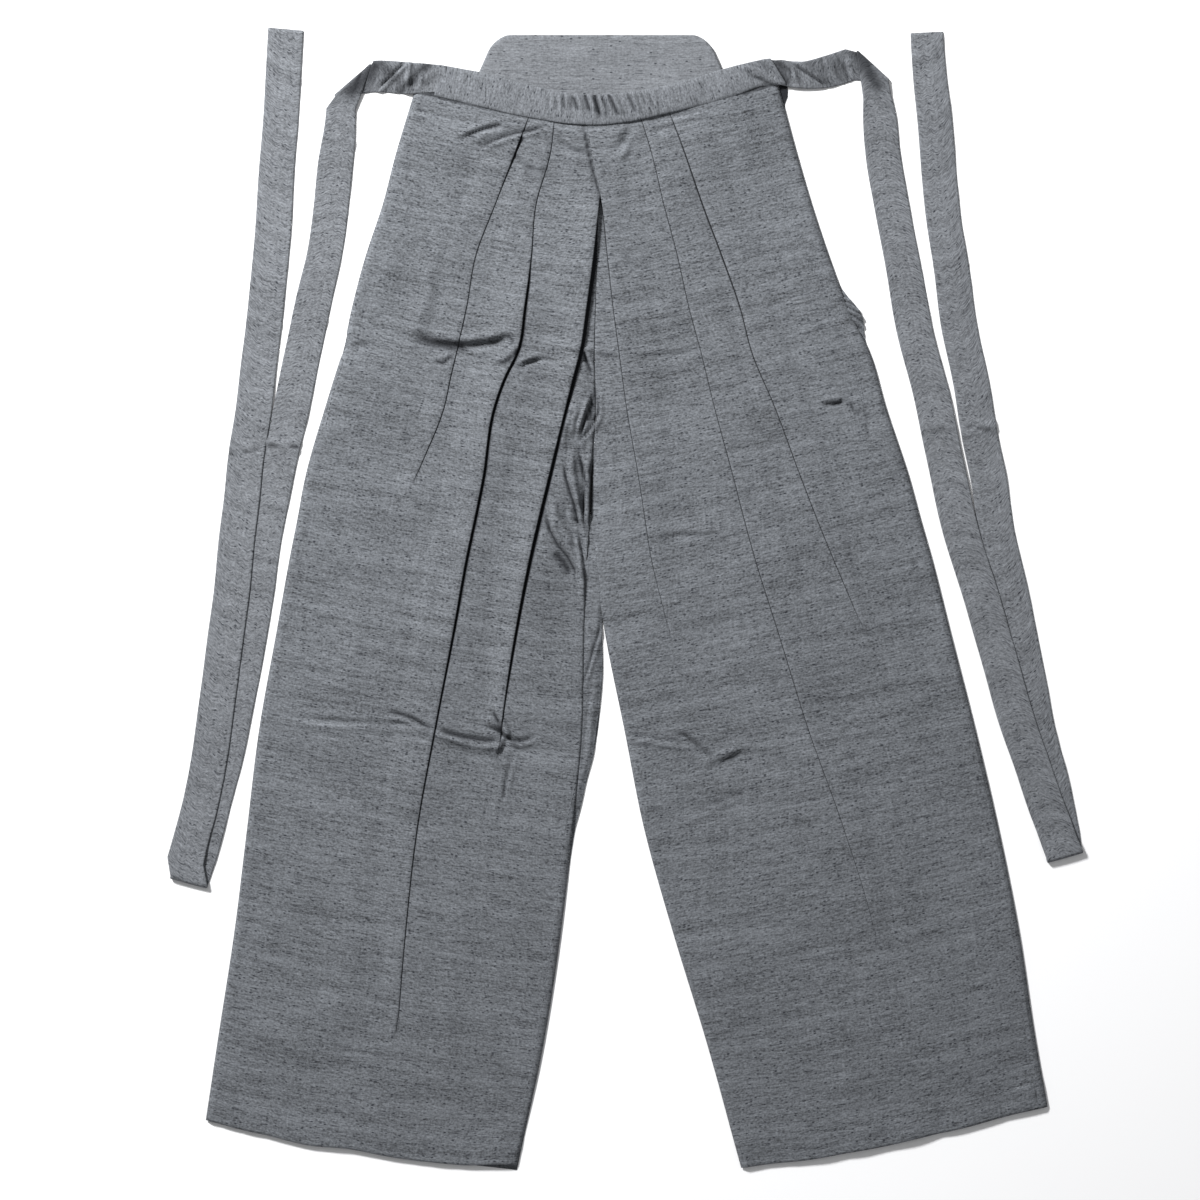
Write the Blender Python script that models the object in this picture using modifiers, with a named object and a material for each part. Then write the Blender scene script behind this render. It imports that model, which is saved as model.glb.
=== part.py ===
"""Hakama trousers laid flat on their back, front up.

X runs across the garment, Y from the hems to the waist and Z up from the surface it lies on.
Every size in the tables is in millimetres, measured from the middle of the laid-out garment.
"""

import math
from collections import namedtuple

import bmesh
import bpy
import numpy as np

MM = 0.001

# Walls and the clearances between them
CLOTH = 1.0
GAP = 0.3
LAYER = 1.5
BOARD_THICKNESS = 4.0
BAND_THICKNESS = 3.0

# Lengths and widths of the cut pieces
BOARD_TOP, BOARD_BOTTOM, BOARD_HEIGHT, BOARD_CORNER = 190, 270, 91, 16
BOARD_FOOT = 416
CENTRE = -21
BACK_TIE_WIDTH, BACK_TIE_LENGTH = 28, 690
BACK_TIE_INSET = 6
BACK_TIE_LEAN = 0.14
CORNER_STEPS = 6

# Where a front panel runs above the surface: at its side seam, inside it, and over the back board
SIDE_HEIGHT = CLOTH + GAP + CLOTH / 2
INSIDE_HEIGHT = SIDE_HEIGHT + CLOTH + GAP
BOARD_LIFT = BOARD_THICKNESS + GAP + CLOTH / 2 - INSIDE_HEIGHT + 0.1

# The panel rises from its side seam over SIDE_SLOPE and is level from SIDE_LEVEL inwards. Over
# the board it is lifted between these two heights, and this far in from the side seam.
SIDE_SLOPE, SIDE_LEVEL = 14, 26
BOARD_RISE_STARTS, BOARD_RISE_ENDS = 325, 372
BOARD_RISE_IN, BOARD_RISE_CLEAR = 2, 22

# Rows down a leg, and the rounds of closer guesses that place a row on a curved line
LEG_ROWS = 21
ROUNDS = 8

# A pleat shallower than this is drawn as a slope this far along the cloth for each of its steps
SHALLOWEST_FOLD = 3.0
OPENED_REACH, OPENED_START = 8, 3
OPENS_ABOVE, OPENS_OVER = 20, 70
FOLD_POINTS = 6
CLEAR_OF_FOLD = 1.5

# Where the columns of a back panel lie between its side seam and its inner edge
BACK_COLUMNS = (0, 0.2, 0.6, 1)

# The upper outer corners of the back panels, beside the board
LEFT_BACK_CORNER, RIGHT_BACK_CORNER = (-193, 445), (148, 456)

# One row for each level down a leg: its side seam, the folded edges of its three pleats from the
# side inwards, the inner edge of its front panel and that of its back panel.
Level = namedtuple("Level", "height side outer_pleat mid_pleat centre_pleat inner back_inner")
LEFT_LEG = [
    Level(450, -191, -80, -62, -10, -22.2, -21.2),
    Level(400, -206, -99, -67, -17, -23.2, -21.2),
    Level(354, -218, -117, -80, -23, -24.2, -21.2),
    Level(309, -233, -134, -84, -28, -25.2, -21.2),
    Level(264, -245, -142, -90, -34, -26.2, -21.2),
    Level(219, -255, -152, -98, -41, -27.2, -21.2),
    Level(174, -269, -162, -113, -52, -26.2, -21.2),
    Level(107, -288, -188, -128, -69, -30.2, -20.7),
    Level(39, -301, -207, -142, -85, -35, -20.8),
    Level(-28, -313, -225, -154, -98, -36.5, -20.8),
    Level(-118, -329, -247, -171, -111, -38.5, -24),
    Level(-208, -340, -260, -187, -117, -47, -44.5),
    Level(-298, -351, -274, -197, -122, -57, -57),
    Level(-396, -366, -288, -205, -128, -72, -72),
    Level(-515, -384, -301, -213, -136, -97, -97),
]
RIGHT_LEG = [
    Level(450, 142, 36, 9.5, -37, -21.8, -20.8),
    Level(400, 155.5, 55, 25, -29, -22.8, -20.8),
    Level(354, 169, 71, 36, -20, -23.8, -20.8),
    Level(309, 184, 88, 48, -15, -24.8, -20.8),
    Level(264, 201, 104, 58, -10, -25.8, -20.8),
    Level(219, 222, 116, 70, -4, -26.8, -20.8),
    Level(174, 235, 135, 81, 2, -25.8, -20.8),
    Level(107, 257, 160, 99, 13.5, -29.4, -20.3),
    Level(39, 276, 187, 117, 24, -27, -19.2),
    Level(-28, 293, 215, 138, 40, -18, -17),
    Level(-118, 316, 248, 166, 59, 0, 0),
    Level(-208, 337, 270, 198, 77, 18, 18),
    Level(-298, 355, 288, 225, 99, 43, 43),
    Level(-396, 370, 304, 239, 122, 73, 73),
    Level(-515, 392, 315, 252, 144, 106, 106),
]

# One row for each pleat: how deep it is folded at the waist and where it is deepest, and the
# height at which it opens out.
Pleat = namedtuple("Pleat", "edge waist_depth depth ends")
LEFT_PLEATS = [
    Pleat("outer_pleat", 15, 17, 111),
    Pleat("mid_pleat", 10, 24, -396),
    Pleat("centre_pleat", 30, 24, -150),
]
RIGHT_PLEATS = [
    Pleat("outer_pleat", 20, 22, -36),
    Pleat("mid_pleat", 16, 24, -314),
    Pleat("centre_pleat", 32, 26, -12),
]
WAIST_LEVEL = 450
DEPTH_GROWS_OVER = 150
DEPTH_LOST_PER_MM = 0.12

# The waist seam and the two hems, as heights across the garment
Point = namedtuple("Point", "x height")
WAIST_SEAM = [
    Point(-192, 456), Point(-130, 441), Point(-87, 432), Point(-46, 426), Point(-22, 425),
    Point(14, 431), Point(40, 437), Point(68, 444), Point(100, 452), Point(144, 464),
]
LEFT_HEM = [Point(-377, -468), Point(-342, -478), Point(-216, -501), Point(-97, -515)]
RIGHT_HEM = [Point(105, -512), Point(183, -501), Point(300, -478), Point(381, -457)]

# The centre pleat of the right leg lies over that of the left leg down to here
OVERLAP_ENDS, OVERLAP_FADES = 300, 25

# One row for each station along a strip: its middle line, its width and its height
Strip = namedtuple("Strip", "x y width z")
WAISTBAND = [
    Strip(-168, 467, 27, 6.0), Strip(-150, 463, 28, 6.0), Strip(-127, 458, 29, 6.0),
    Strip(-96, 450, 28, 6.0), Strip(-73, 445, 27, 6.0), Strip(-50, 441, 26, 6.0),
    Strip(-20, 440, 26, 6.0), Strip(8, 443, 25, 6.0), Strip(36, 449, 24, 6.0),
    Strip(61, 455, 24, 6.0), Strip(92, 464, 25, 6.0), Strip(122, 473, 22, 6.0),
    Strip(136, 475, 22, 6.0),
]
LEFT_TIE_OUT = [
    Strip(-172.5, 468, 26, 5.0), Strip(-193, 468, 27, 5.0), Strip(-212, 469, 27, 3.4),
    Strip(-227, 467, 28, 1.2),
]
LEFT_TIE_DOWN = [
    Strip(-257, 433, 27, 1.4), Strip(-258, 416, 29, 0.5), Strip(-260, 399, 31, 0.5),
    Strip(-264, 354, 31, 0.5), Strip(-271, 309, 31, 0.5), Strip(-281, 264, 32, 0.5),
    Strip(-290, 219, 32, 0.5), Strip(-300, 174, 32, 0.5), Strip(-310.5, 129, 32, 0.5),
    Strip(-319, 84, 32, 0.5), Strip(-327, 39, 32, 0.5), Strip(-334, -6, 32, 0.5),
    Strip(-342, -51, 32, 0.5), Strip(-351, -96, 32, 0.5), Strip(-361, -141, 32, 0.5),
    Strip(-372, -186, 32, 0.5), Strip(-383, -231, 32, 0.5),
]
LEFT_TIE_UP = [
    Strip(-396, -236, 33, 2.0), Strip(-383, -186, 32, 2.0), Strip(-375, -141, 32, 2.0),
    Strip(-368, -96, 32, 2.0), Strip(-362, -51, 32, 2.0), Strip(-355.5, -6, 32, 2.0),
    Strip(-350, 39, 32, 2.0), Strip(-345, 84, 32, 2.0), Strip(-341, 129, 32, 2.0),
    Strip(-334, 174, 32, 1.6), Strip(-328, 219, 32, 0.6), Strip(-323, 264, 32, 0.5),
    Strip(-319, 309, 32, 0.5), Strip(-315, 354, 32, 0.5), Strip(-313, 399, 31.5, 0.5),
    Strip(-310.5, 434, 31.5, 0.5), Strip(-309, 467, 31.5, 0.5), Strip(-305, 513, 31.5, 0.5),
]
RIGHT_TIE_OUT = [
    Strip(140.5, 474, 22, 5.0), Strip(160, 471, 23, 5.0), Strip(182, 474, 26, 3.4),
    Strip(200, 480, 28, 1.2),
]
RIGHT_TIE_DOWN = [
    Strip(228, 455, 28, 1.4), Strip(229, 437, 29, 0.5), Strip(233, 399, 31, 0.5),
    Strip(241, 354, 31, 0.5), Strip(249, 309, 31, 0.5), Strip(258, 264, 32, 0.5),
    Strip(267, 219, 32, 0.6), Strip(278, 174, 32, 1.6), Strip(288, 129, 32, 2.0),
    Strip(298, 84, 32, 2.0), Strip(310, 39, 32, 2.0), Strip(323, -6, 32, 2.0),
    Strip(336, -51, 32, 2.0), Strip(349, -96, 32, 2.0), Strip(364, -141, 32, 2.0),
    Strip(379, -186, 32, 2.0), Strip(391, -218, 32, 2.0),
]
RIGHT_TIE_UP = [
    Strip(394, -212, 32, 0.5), Strip(383, -163, 32, 0.5), Strip(372, -118, 32, 0.5),
    Strip(363, -73, 32, 0.5), Strip(354, -28, 32, 0.5), Strip(345, 17, 32, 0.5),
    Strip(336, 62, 32, 0.5), Strip(328.5, 107, 32, 0.5), Strip(319, 152, 32, 0.5),
    Strip(311, 197, 32, 0.5), Strip(303, 242, 32, 0.5), Strip(296, 287, 31.5, 0.5),
    Strip(289, 332, 31, 0.5), Strip(284, 377, 31, 0.5), Strip(280, 423, 31, 0.5),
    Strip(275, 467, 30, 0.5), Strip(273, 510, 29, 0.5),
]

# One row for each place where a tie is folded over flat: the middle and the length of the folded
# edge, its bearing, and the heights of the strip as it comes in and as it leaves.
Turn = namedtuple("Turn", "x y length bearing z_in z_out")
LEFT_TIE_TURNS = [Turn(-246, 467, 43, 41, 0.5, 2.0), Turn(-392, -256, 34, -15, 0.5, 2.0)]
RIGHT_TIE_TURNS = [Turn(224, 480, 38, -43, 0.5, 2.0), Turn(397, -233, 33, 16, 2.0, 0.5)]

# The gusset between the legs, folded flat: down its inner edge and back up under the panels
GUSSET = [
    (-19.5, -17), (-20, -73), (-22, -96), (-25, -118), (-28, -141), (-34, -163), (-39, -186),
    (-45, -208), (-50, -231), (-57, -231), (-52, -186), (-47, -118), (-46, -40), (-44, 40),
    (-38, 92), (-24, 92), (-12, 40), (0, -30), (18, -100), (26, -140), (20, -148), (7, -148),
    (1, -118), (-9, -73), (-15, -51),
]

CLOTH_COLOUR = (0.21, 0.235, 0.27)


def column(table, value, key="height"):
    """A smooth function that reads one column of a table against another."""
    rows = sorted((getattr(row, key), getattr(row, value)) for row in table)
    at, to = np.array(rows, float).T
    slope = np.gradient(to, at)

    def read(place):
        if place <= at[0] or place >= at[-1]:
            end = 0 if place <= at[0] else -1
            return to[end] + slope[end] * (place - at[end])
        i = int(np.searchsorted(at, place, side="right")) - 1
        step = at[i + 1] - at[i]
        t = (place - at[i]) / step
        start = (1 + 2 * t) * (1 - t) ** 2 * to[i] + t * (1 - t) ** 2 * step * slope[i]
        return start + t * t * (3 - 2 * t) * to[i + 1] - t * t * (1 - t) * step * slope[i + 1]

    return read


def ramp(value, low, high):
    """0 below low, 1 above high and an even rise between them."""
    return min(max((value - low) / (high - low), 0.0), 1.0)


def cloth_material(name, shade):
    material = bpy.data.materials.new(name)
    material.use_nodes = True
    shader = material.node_tree.nodes["Principled BSDF"]
    shader.inputs["Base Color"].default_value = (*[c * shade for c in CLOTH_COLOUR], 1)
    shader.inputs["Roughness"].default_value = 0.9
    return material


def add_piece(name, mesh, shade=1.0):
    """Puts a mesh in the garment's collection as one named piece."""
    piece = bpy.data.objects.new(name, mesh)
    piece.data.materials.append(cloth_material(name + "_cloth", shade))
    piece.parent = garment
    collection.objects.link(piece)
    return piece


def add_wall(name, rows, thickness=CLOTH, shade=1.0):
    """A wall of cloth around the surface through these rows of points, all of one length."""
    points = [tuple(c * MM for c in point) for row in rows for point in row]
    wide = len(rows[0])
    faces = [
        (i * wide + j, i * wide + j + 1, (i + 1) * wide + j + 1, (i + 1) * wide + j)
        for i in range(len(rows) - 1)
        for j in range(wide - 1)
    ]
    mesh = bpy.data.meshes.new(name)
    mesh.from_pydata(points, [], faces)
    mesh.update()
    piece = add_piece(name, mesh, shade)
    wall = piece.modifiers.new("Wall", "SOLIDIFY")
    wall.thickness = thickness * MM
    wall.offset = 0
    wall.use_even_offset = True
    wall.use_quality_normals = True
    return piece


def add_plate(name, outline, low, high, shade=1.0):
    """A flat piece cut to an outline, from one height to another."""
    shape = bmesh.new()
    base = shape.faces.new([shape.verts.new((x * MM, y * MM, low * MM)) for x, y in outline])
    top = bmesh.ops.extrude_face_region(shape, geom=[base])
    lifted = [v for v in top["geom"] if isinstance(v, bmesh.types.BMVert)]
    bmesh.ops.translate(shape, verts=lifted, vec=(0, 0, (high - low) * MM))
    bmesh.ops.recalc_face_normals(shape, faces=shape.faces)
    mesh = bpy.data.meshes.new(name)
    shape.to_mesh(mesh)
    shape.free()
    return add_piece(name, mesh, shade)


def pleat_depth(pleat, height):
    grown = ramp(WAIST_LEVEL - height, 0, DEPTH_GROWS_OVER)
    full = pleat.waist_depth + (pleat.depth - pleat.waist_depth) * grown
    return min(full, (height - pleat.ends) * DEPTH_LOST_PER_MM)


def fold_section(edge, depth, top, under, low, inwards):
    """The six points where cloth turns under at a pleat's edge and turns back at its foot.

    inwards is +1 where the cloth comes from -X, as on the left leg, and -1 on the right leg.
    """
    upper = (top - under) / 2
    lower = (under - low) / 2
    back = edge - inwards * depth
    return [
        (edge - inwards * upper, top),
        (edge, top - upper),
        (edge - inwards * upper, under),
        (back + inwards * lower, under),
        (back, under - lower),
        (back + inwards * lower, low),
    ]


def opened_section(edge, reach, top, low, inwards):
    """The same six points where the pleat has opened out to a slope."""
    last = FOLD_POINTS - 1
    return [
        (edge + inwards * reach * i / last, top + (low - top) * i / last)
        for i in range(FOLD_POINTS)
    ]


def front_panel(name, leg, pleats, hem_points, inwards, shade):
    """A leg's front panel: one length of cloth with its three knife pleats folded in it."""
    waist = column(WAIST_SEAM, "height", "x")
    hem = column(hem_points, "height", "x")
    read = {field: column(leg, field) for field in Level._fields[1:]}

    def height_at(down, x):
        return waist(x) - GAP + (hem(x) - waist(x) + GAP) * down

    def on_row(down, field):
        """Where a line of the table crosses this row."""
        x = read[field](height_at(down, read[field](0)))
        for _ in range(ROUNDS):
            x = read[field](height_at(down, x))
        return x

    def base(down, x):
        """Middle height of the cloth that lies straight on what is under the panel."""
        y = height_at(down, x)
        from_side = abs(x - on_row(down, "side"))
        lift = ramp(y, BOARD_RISE_STARTS, BOARD_RISE_ENDS)
        lift *= BOARD_LIFT * ramp(from_side, BOARD_RISE_IN, BOARD_RISE_CLEAR)
        return SIDE_HEIGHT + (INSIDE_HEIGHT - SIDE_HEIGHT) * ramp(from_side, 0, SIDE_SLOPE) + lift

    rows = []
    for i in range(LEG_ROWS):
        down = i / (LEG_ROWS - 1)
        side = on_row(down, "side")
        starts = [side + inwards * reach for reach in (0, SIDE_SLOPE, SIDE_LEVEL)]
        section = [(x, base(down, x)) for x in starts]
        for pleat in pleats:
            edge = on_row(down, pleat.edge)
            y = height_at(down, edge)
            depth = pleat_depth(pleat, y)
            low = base(down, edge)
            opened = ramp(pleat.ends + OPENS_ABOVE - y, 0, OPENS_OVER)
            top = low + 2 * LAYER * (1 - opened)
            under = low + LAYER
            crossing = pleat.edge == "centre_pleat" and inwards < 0
            if crossing:
                over = 2 * LAYER * ramp(y, OVERLAP_ENDS, OVERLAP_ENDS + OVERLAP_FADES)
                top += over
                under += over
            if depth > SHALLOWEST_FOLD:
                fold = fold_section(edge, depth, top, under, low, inwards)
                start = edge - inwards * (depth + CLEAR_OF_FOLD)
            else:
                fold = opened_section(edge, OPENED_REACH, top, low, inwards)
                start = edge - inwards * OPENED_START
            before = section[-1][0]
            middle = (before + start) / 2
            section.append((middle, (section[-1][1] + top) / 2))
            section.append((start, top))
            section += fold
            # The next panel runs on level until it is clear of this pleat's edge.
            clear = inwards * (max(inwards * fold[-1][0], inwards * edge) + CLEAR_OF_FOLD)
            if pleat.edge != "centre_pleat":
                section.append((clear, low))
        inner = on_row(down, "inner")
        last = section[-1]
        section.append(((last[0] + inner) / 2, last[1]))
        section.append((inner, base(down, inner)))
        rows.append([(x, height_at(down, x), z) for x, z in section])
    return add_wall(name, rows, shade=shade)


def back_panel(name, leg, hem_points, corner, shade):
    """A leg's back panel, flat on the surface."""
    hem = column(hem_points, "height", "x")
    side = column(leg, "side")
    inner = column(leg, "back_inner")
    top = BOARD_FOOT - GAP
    rows = []
    for i in range(LEG_ROWS):
        down = i / (LEG_ROWS - 1)

        def height_at(x):
            return top + (hem(x) - top) * down

        ends = []
        for edge in (side, inner):
            x = edge(0)
            for _ in range(ROUNDS):
                x = edge(height_at(x))
            ends.append(x)
        row = [ends[0] + (ends[1] - ends[0]) * part for part in BACK_COLUMNS]
        rows.append([(x, height_at(x), CLOTH / 2) for x in row])
    rows[0][0] = (*corner, CLOTH / 2)
    return add_wall(name, rows, shade=shade)


def strip_rows(stations, flip=1):
    """Left edge, middle and right edge of a strip at each station along its middle line."""
    path = np.array([(s.x, s.y) for s in stations], float)
    along = np.gradient(path, axis=0)
    along /= np.linalg.norm(along, axis=1)[:, None]
    rows = []
    for station, (dx, dy) in zip(stations, along):
        half = flip * station.width / 2
        rows.append([
            (station.x - dy * half * side, station.y + dx * half * side, station.z)
            for side in (1, 0, -1)
        ])
    return rows


def turn_rows(turn, before):
    """The rows round a folded edge: the strip coming in, its nose and the strip going out."""
    along = np.array([math.cos(math.radians(turn.bearing)), math.sin(math.radians(turn.bearing))])
    if np.dot(along, np.subtract(before[0][:2], before[2][:2])) < 0:
        along = -along
    middle = np.array([turn.x, turn.y])
    outwards = np.array([-along[1], along[0]])
    if np.dot(outwards, middle - before[1][:2]) < 0:
        outwards = -outwards
    reach = abs(turn.z_out - turn.z_in) / 2
    rows = []
    for out, z in ((0, turn.z_in), (reach, (turn.z_in + turn.z_out) / 2), (0, turn.z_out)):
        ends = [middle + outwards * out + along * turn.length / 2 * side for side in (1, 0, -1)]
        rows.append([(x, y, z) for x, y in ends])
    return rows


def folded_tie(name, runs, turns, shade):
    """A tie laid out in flat runs, turned over on itself between one run and the next."""
    rows = []
    flip = 1
    for run, turn in zip(runs, [*turns, None]):
        rows += strip_rows(run, flip)
        if turn:
            rows += turn_rows(turn, rows[-1])
            flip = -flip
    return add_wall(name, rows, shade=shade)


def back_board():
    """The stiff board at the back of the waist: a trapezium with rounded upper corners."""
    half_foot, half_top = BOARD_BOTTOM / 2, BOARD_TOP / 2
    outline = [(CENTRE - half_foot, BOARD_FOOT), (CENTRE + half_foot, BOARD_FOOT)]
    head = BOARD_FOOT + BOARD_HEIGHT
    for side in (1, -1):
        lean = np.array([(half_foot - half_top) * side, -BOARD_HEIGHT], float)
        lean /= np.linalg.norm(lean)
        corner = np.array([CENTRE + side * half_top, head], float)
        start = corner + lean * BOARD_CORNER
        end = corner - np.array([side * BOARD_CORNER, 0])
        arc = []
        for i in range(CORNER_STEPS + 1):
            t = i / CORNER_STEPS
            arc.append((1 - t) ** 2 * start + 2 * t * (1 - t) * corner + t * t * end)
        outline += arc if side > 0 else arc[::-1]
    outline = [tuple(float(c) for c in point) for point in outline]
    return add_plate("back_board", outline, 0, BOARD_THICKNESS, 1.05)


def back_tie(name, side):
    """A back tie, sewn on at the board's lower corner and tucked down inside the leg."""
    x = CENTRE + side * (BOARD_BOTTOM / 2 - BACK_TIE_WIDTH / 2 - BACK_TIE_INSET)
    low = CLOTH + GAP
    half = BACK_TIE_WIDTH / 2
    head = BOARD_FOOT - GAP
    foot = head - BACK_TIE_LENGTH
    shift = side * BACK_TIE_LEAN * BACK_TIE_LENGTH
    outline = [
        (x - half, head), (x + half, head), (x + half + shift, foot), (x - half + shift, foot),
    ]
    return add_plate(name, outline, low, low + CLOTH, 0.95)


for old in list(bpy.data.objects):
    bpy.data.objects.remove(old, do_unlink=True)

collection = bpy.data.collections.new("hakama_trousers")
bpy.context.scene.collection.children.link(collection)
garment = bpy.data.objects.new("garment", None)
collection.objects.link(garment)

back_panel("back_panel_left", LEFT_LEG, LEFT_HEM, LEFT_BACK_CORNER, 0.85)
back_panel("back_panel_right", RIGHT_LEG, RIGHT_HEM, RIGHT_BACK_CORNER, 0.85)
back_board()
back_tie("back_tie_left", -1)
back_tie("back_tie_right", 1)
add_plate("gusset", GUSSET, CLOTH + GAP, 2 * CLOTH + GAP, 0.9)
front_panel("front_panel_left", LEFT_LEG, LEFT_PLEATS, LEFT_HEM, 1, 1.0)
front_panel("front_panel_right", RIGHT_LEG, RIGHT_PLEATS, RIGHT_HEM, -1, 0.97)
add_wall("front_waistband", strip_rows(WAISTBAND), BAND_THICKNESS, 1.08)
folded_tie("front_tie_left", [LEFT_TIE_OUT, LEFT_TIE_DOWN, LEFT_TIE_UP], LEFT_TIE_TURNS, 1.1)
folded_tie("front_tie_right", [RIGHT_TIE_OUT, RIGHT_TIE_DOWN, RIGHT_TIE_UP], RIGHT_TIE_TURNS, 1.1)

# The origin is the middle of the garment's own box.
bpy.context.view_layer.update()
graph = bpy.context.evaluated_depsgraph_get()
corners = []
for piece in collection.objects:
    if piece.type == "MESH":
        mesh = piece.evaluated_get(graph).to_mesh()
        corners += [tuple(v.co) for v in mesh.vertices]
        piece.evaluated_get(graph).to_mesh_clear()
low, high = np.min(corners, axis=0), np.max(corners, axis=0)
garment.location = (-(low[0] + high[0]) / 2, -(low[1] + high[1]) / 2, 0)
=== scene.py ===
import math

import bpy
import numpy as np
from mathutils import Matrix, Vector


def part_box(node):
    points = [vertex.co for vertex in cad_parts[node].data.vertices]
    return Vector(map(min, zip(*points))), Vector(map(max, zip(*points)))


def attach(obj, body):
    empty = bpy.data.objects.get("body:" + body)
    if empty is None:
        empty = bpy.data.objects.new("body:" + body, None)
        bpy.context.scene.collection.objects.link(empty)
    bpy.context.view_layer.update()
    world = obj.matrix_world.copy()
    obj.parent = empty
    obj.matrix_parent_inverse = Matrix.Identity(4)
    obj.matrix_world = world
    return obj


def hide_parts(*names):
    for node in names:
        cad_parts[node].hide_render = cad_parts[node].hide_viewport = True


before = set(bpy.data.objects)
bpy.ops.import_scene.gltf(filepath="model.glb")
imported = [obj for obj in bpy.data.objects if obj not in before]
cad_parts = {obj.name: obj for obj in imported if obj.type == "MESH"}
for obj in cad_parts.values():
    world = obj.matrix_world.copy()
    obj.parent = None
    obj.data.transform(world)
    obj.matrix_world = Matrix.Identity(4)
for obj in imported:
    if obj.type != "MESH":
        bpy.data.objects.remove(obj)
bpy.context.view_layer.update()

# all sizes below are in millimetres on the laid-out garment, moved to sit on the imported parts
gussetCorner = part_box("gusset")[0]
shift = np.array((gussetCorner.x * 1000 + 57, gussetCorner.y * 1000 + 231, 0))

bpy.context.scene.view_settings.view_transform = "Standard"


# helpers for curves and folds in cloth
def ease(value, low=0.0, high=1.0):
    t = np.clip((np.asarray(value, float) - low) / (high - low), 0, 1)
    return t * t * (3 - 2 * t)


def smoothCurve(table):
    # a smooth line through pairs of numbers, carried on straight past its ends
    at, to = np.array(sorted(table), float).T
    slope = np.gradient(to, at)

    def read(place):
        place = np.asarray(place, float)
        i = np.clip(np.searchsorted(at, place, side="right") - 1, 0, len(at) - 2)
        step = at[i + 1] - at[i]
        t = np.clip((place - at[i]) / step, 0, 1)
        value = (1 + 2 * t) * (1 - t) ** 2 * to[i] + t * (1 - t) ** 2 * step * slope[i]
        value = value + t * t * (3 - 2 * t) * to[i + 1] - t * t * (1 - t) * step * slope[i + 1]
        before = np.minimum(place - at[0], 0) * slope[0]
        return value + before + np.maximum(place - at[-1], 0) * slope[-1]

    return read


def straightLine(table):
    at, to = np.array(sorted(table), float).T
    return lambda place: np.interp(place, at, to)


def creaseHeights(creases, x, y):
    # each crease: path, width, rise, lean, painted shade
    # a lean puts a fold of the other sign beside it, on the left of its path when positive,
    # and the painted shade is how dark its bottom is painted, standing in for the shade in the crease
    total = np.zeros(x.shape)
    paintedShade = np.zeros(x.shape)
    for path, width, rise, lean, dark in creases:
        path = np.array(path, float)
        reach = 3.2 * width + abs(lean) + 2
        near = (x > path[:, 0].min() - reach) & (x < path[:, 0].max() + reach)
        near &= (y > path[:, 1].min() - reach) & (y < path[:, 1].max() + reach)
        if not near.any():
            continue
        px, py = x[near], y[near]
        steps = np.diff(path, axis=0)
        lengths = np.linalg.norm(steps, axis=1)
        gone = np.concatenate([[0], np.cumsum(lengths)])
        best = np.full(px.shape, 1e9)
        signed = np.zeros(px.shape)
        along = np.zeros(px.shape)
        for start, step, length, before in zip(path, steps, lengths, gone):
            t = ((px - start[0]) * step[0] + (py - start[1]) * step[1]) / length ** 2
            t = np.clip(t, 0, 1)
            dx = px - start[0] - t * step[0]
            dy = py - start[1] - t * step[1]
            far = np.hypot(dx, dy)
            closer = far < best
            best = np.where(closer, far, best)
            side = np.sign(step[0] * dy - step[1] * dx)
            signed = np.where(closer, far * np.where(side == 0, 1, side), signed)
            along = np.where(closer, (before + t * length) / gone[-1], along)
        taper = ease(along, 0, 0.22) * ease(along, 1, 0.78) * 0.9 + 0.1
        height = rise * np.exp(-((signed / width) ** 2))
        if lean:
            height = height - 0.8 * rise * np.exp(-(((signed - lean) / (1.3 * width)) ** 2))
        total[near] += height * taper
        # painted shade along the crease's bottom
        paintedShade[near] = np.maximum(paintedShade[near], dark * taper * np.exp(-((signed / (0.8 * width)) ** 2)))
    return total, paintedShade


def ripples(x, y, seed, length, height, count=16):
    # gentle unevenness of cloth that lies on a table
    chance = np.random.default_rng(seed)
    total = np.zeros(np.shape(x))
    for _ in range(count):
        bearing = chance.uniform(0, math.pi)
        wave = length * chance.uniform(0.6, 1.7)
        turn = chance.uniform(0, 2 * math.pi)
        total += np.sin((x * math.cos(bearing) + y * math.sin(bearing)) * 2 * math.pi / wave + turn)
    return total * height / math.sqrt(count / 2)


def sheetOf(name, points, uv, thickness, finish, paintedShade=None):
    # a grid of cloth placed row by row, thickened to a closed shell
    rows, columns = points.shape[:2]
    bpy.ops.object.select_all(action="DESELECT")
    bpy.ops.mesh.primitive_grid_add(x_subdivisions=columns - 1, y_subdivisions=rows - 1, size=1)
    piece = bpy.context.object
    piece.name = name
    mesh = piece.data
    place = (points.reshape(-1, 3) + shift) * 0.001
    mesh.vertices.foreach_set("co", place.ravel())
    corners = np.empty(len(mesh.loops), np.int32)
    mesh.loops.foreach_get("vertex_index", corners)
    mesh.uv_layers.active.data.foreach_set("uv", uv.reshape(-1, 2)[corners].ravel())
    # painted shade: a per-point darkness that the finish paints into the colour in folds, gaps and
    # creases, where shade falls
    shaded = mesh.attributes.new("paintedShade", "FLOAT", "POINT")
    if paintedShade is not None:
        shaded.data.foreach_set("value", np.clip(paintedShade, 0, 1).ravel())
    mesh.update()
    wall = piece.modifiers.new("Cloth", "SOLIDIFY")
    wall.thickness = thickness * 0.001
    wall.offset = 0
    bpy.ops.object.modifier_apply(modifier=wall.name)
    bpy.ops.object.shade_smooth()
    mesh.materials.append(finish)
    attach(piece, "root")
    return piece


def arcLengths(points, axis):
    # how far along the cloth each point is, in metres
    steps = np.linalg.norm(np.diff(points, axis=axis), axis=2)
    start = np.zeros_like(np.take(steps, [0], axis=axis))
    return np.cumsum(np.concatenate([start, steps], axis=axis), axis=axis) * 0.001


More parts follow.
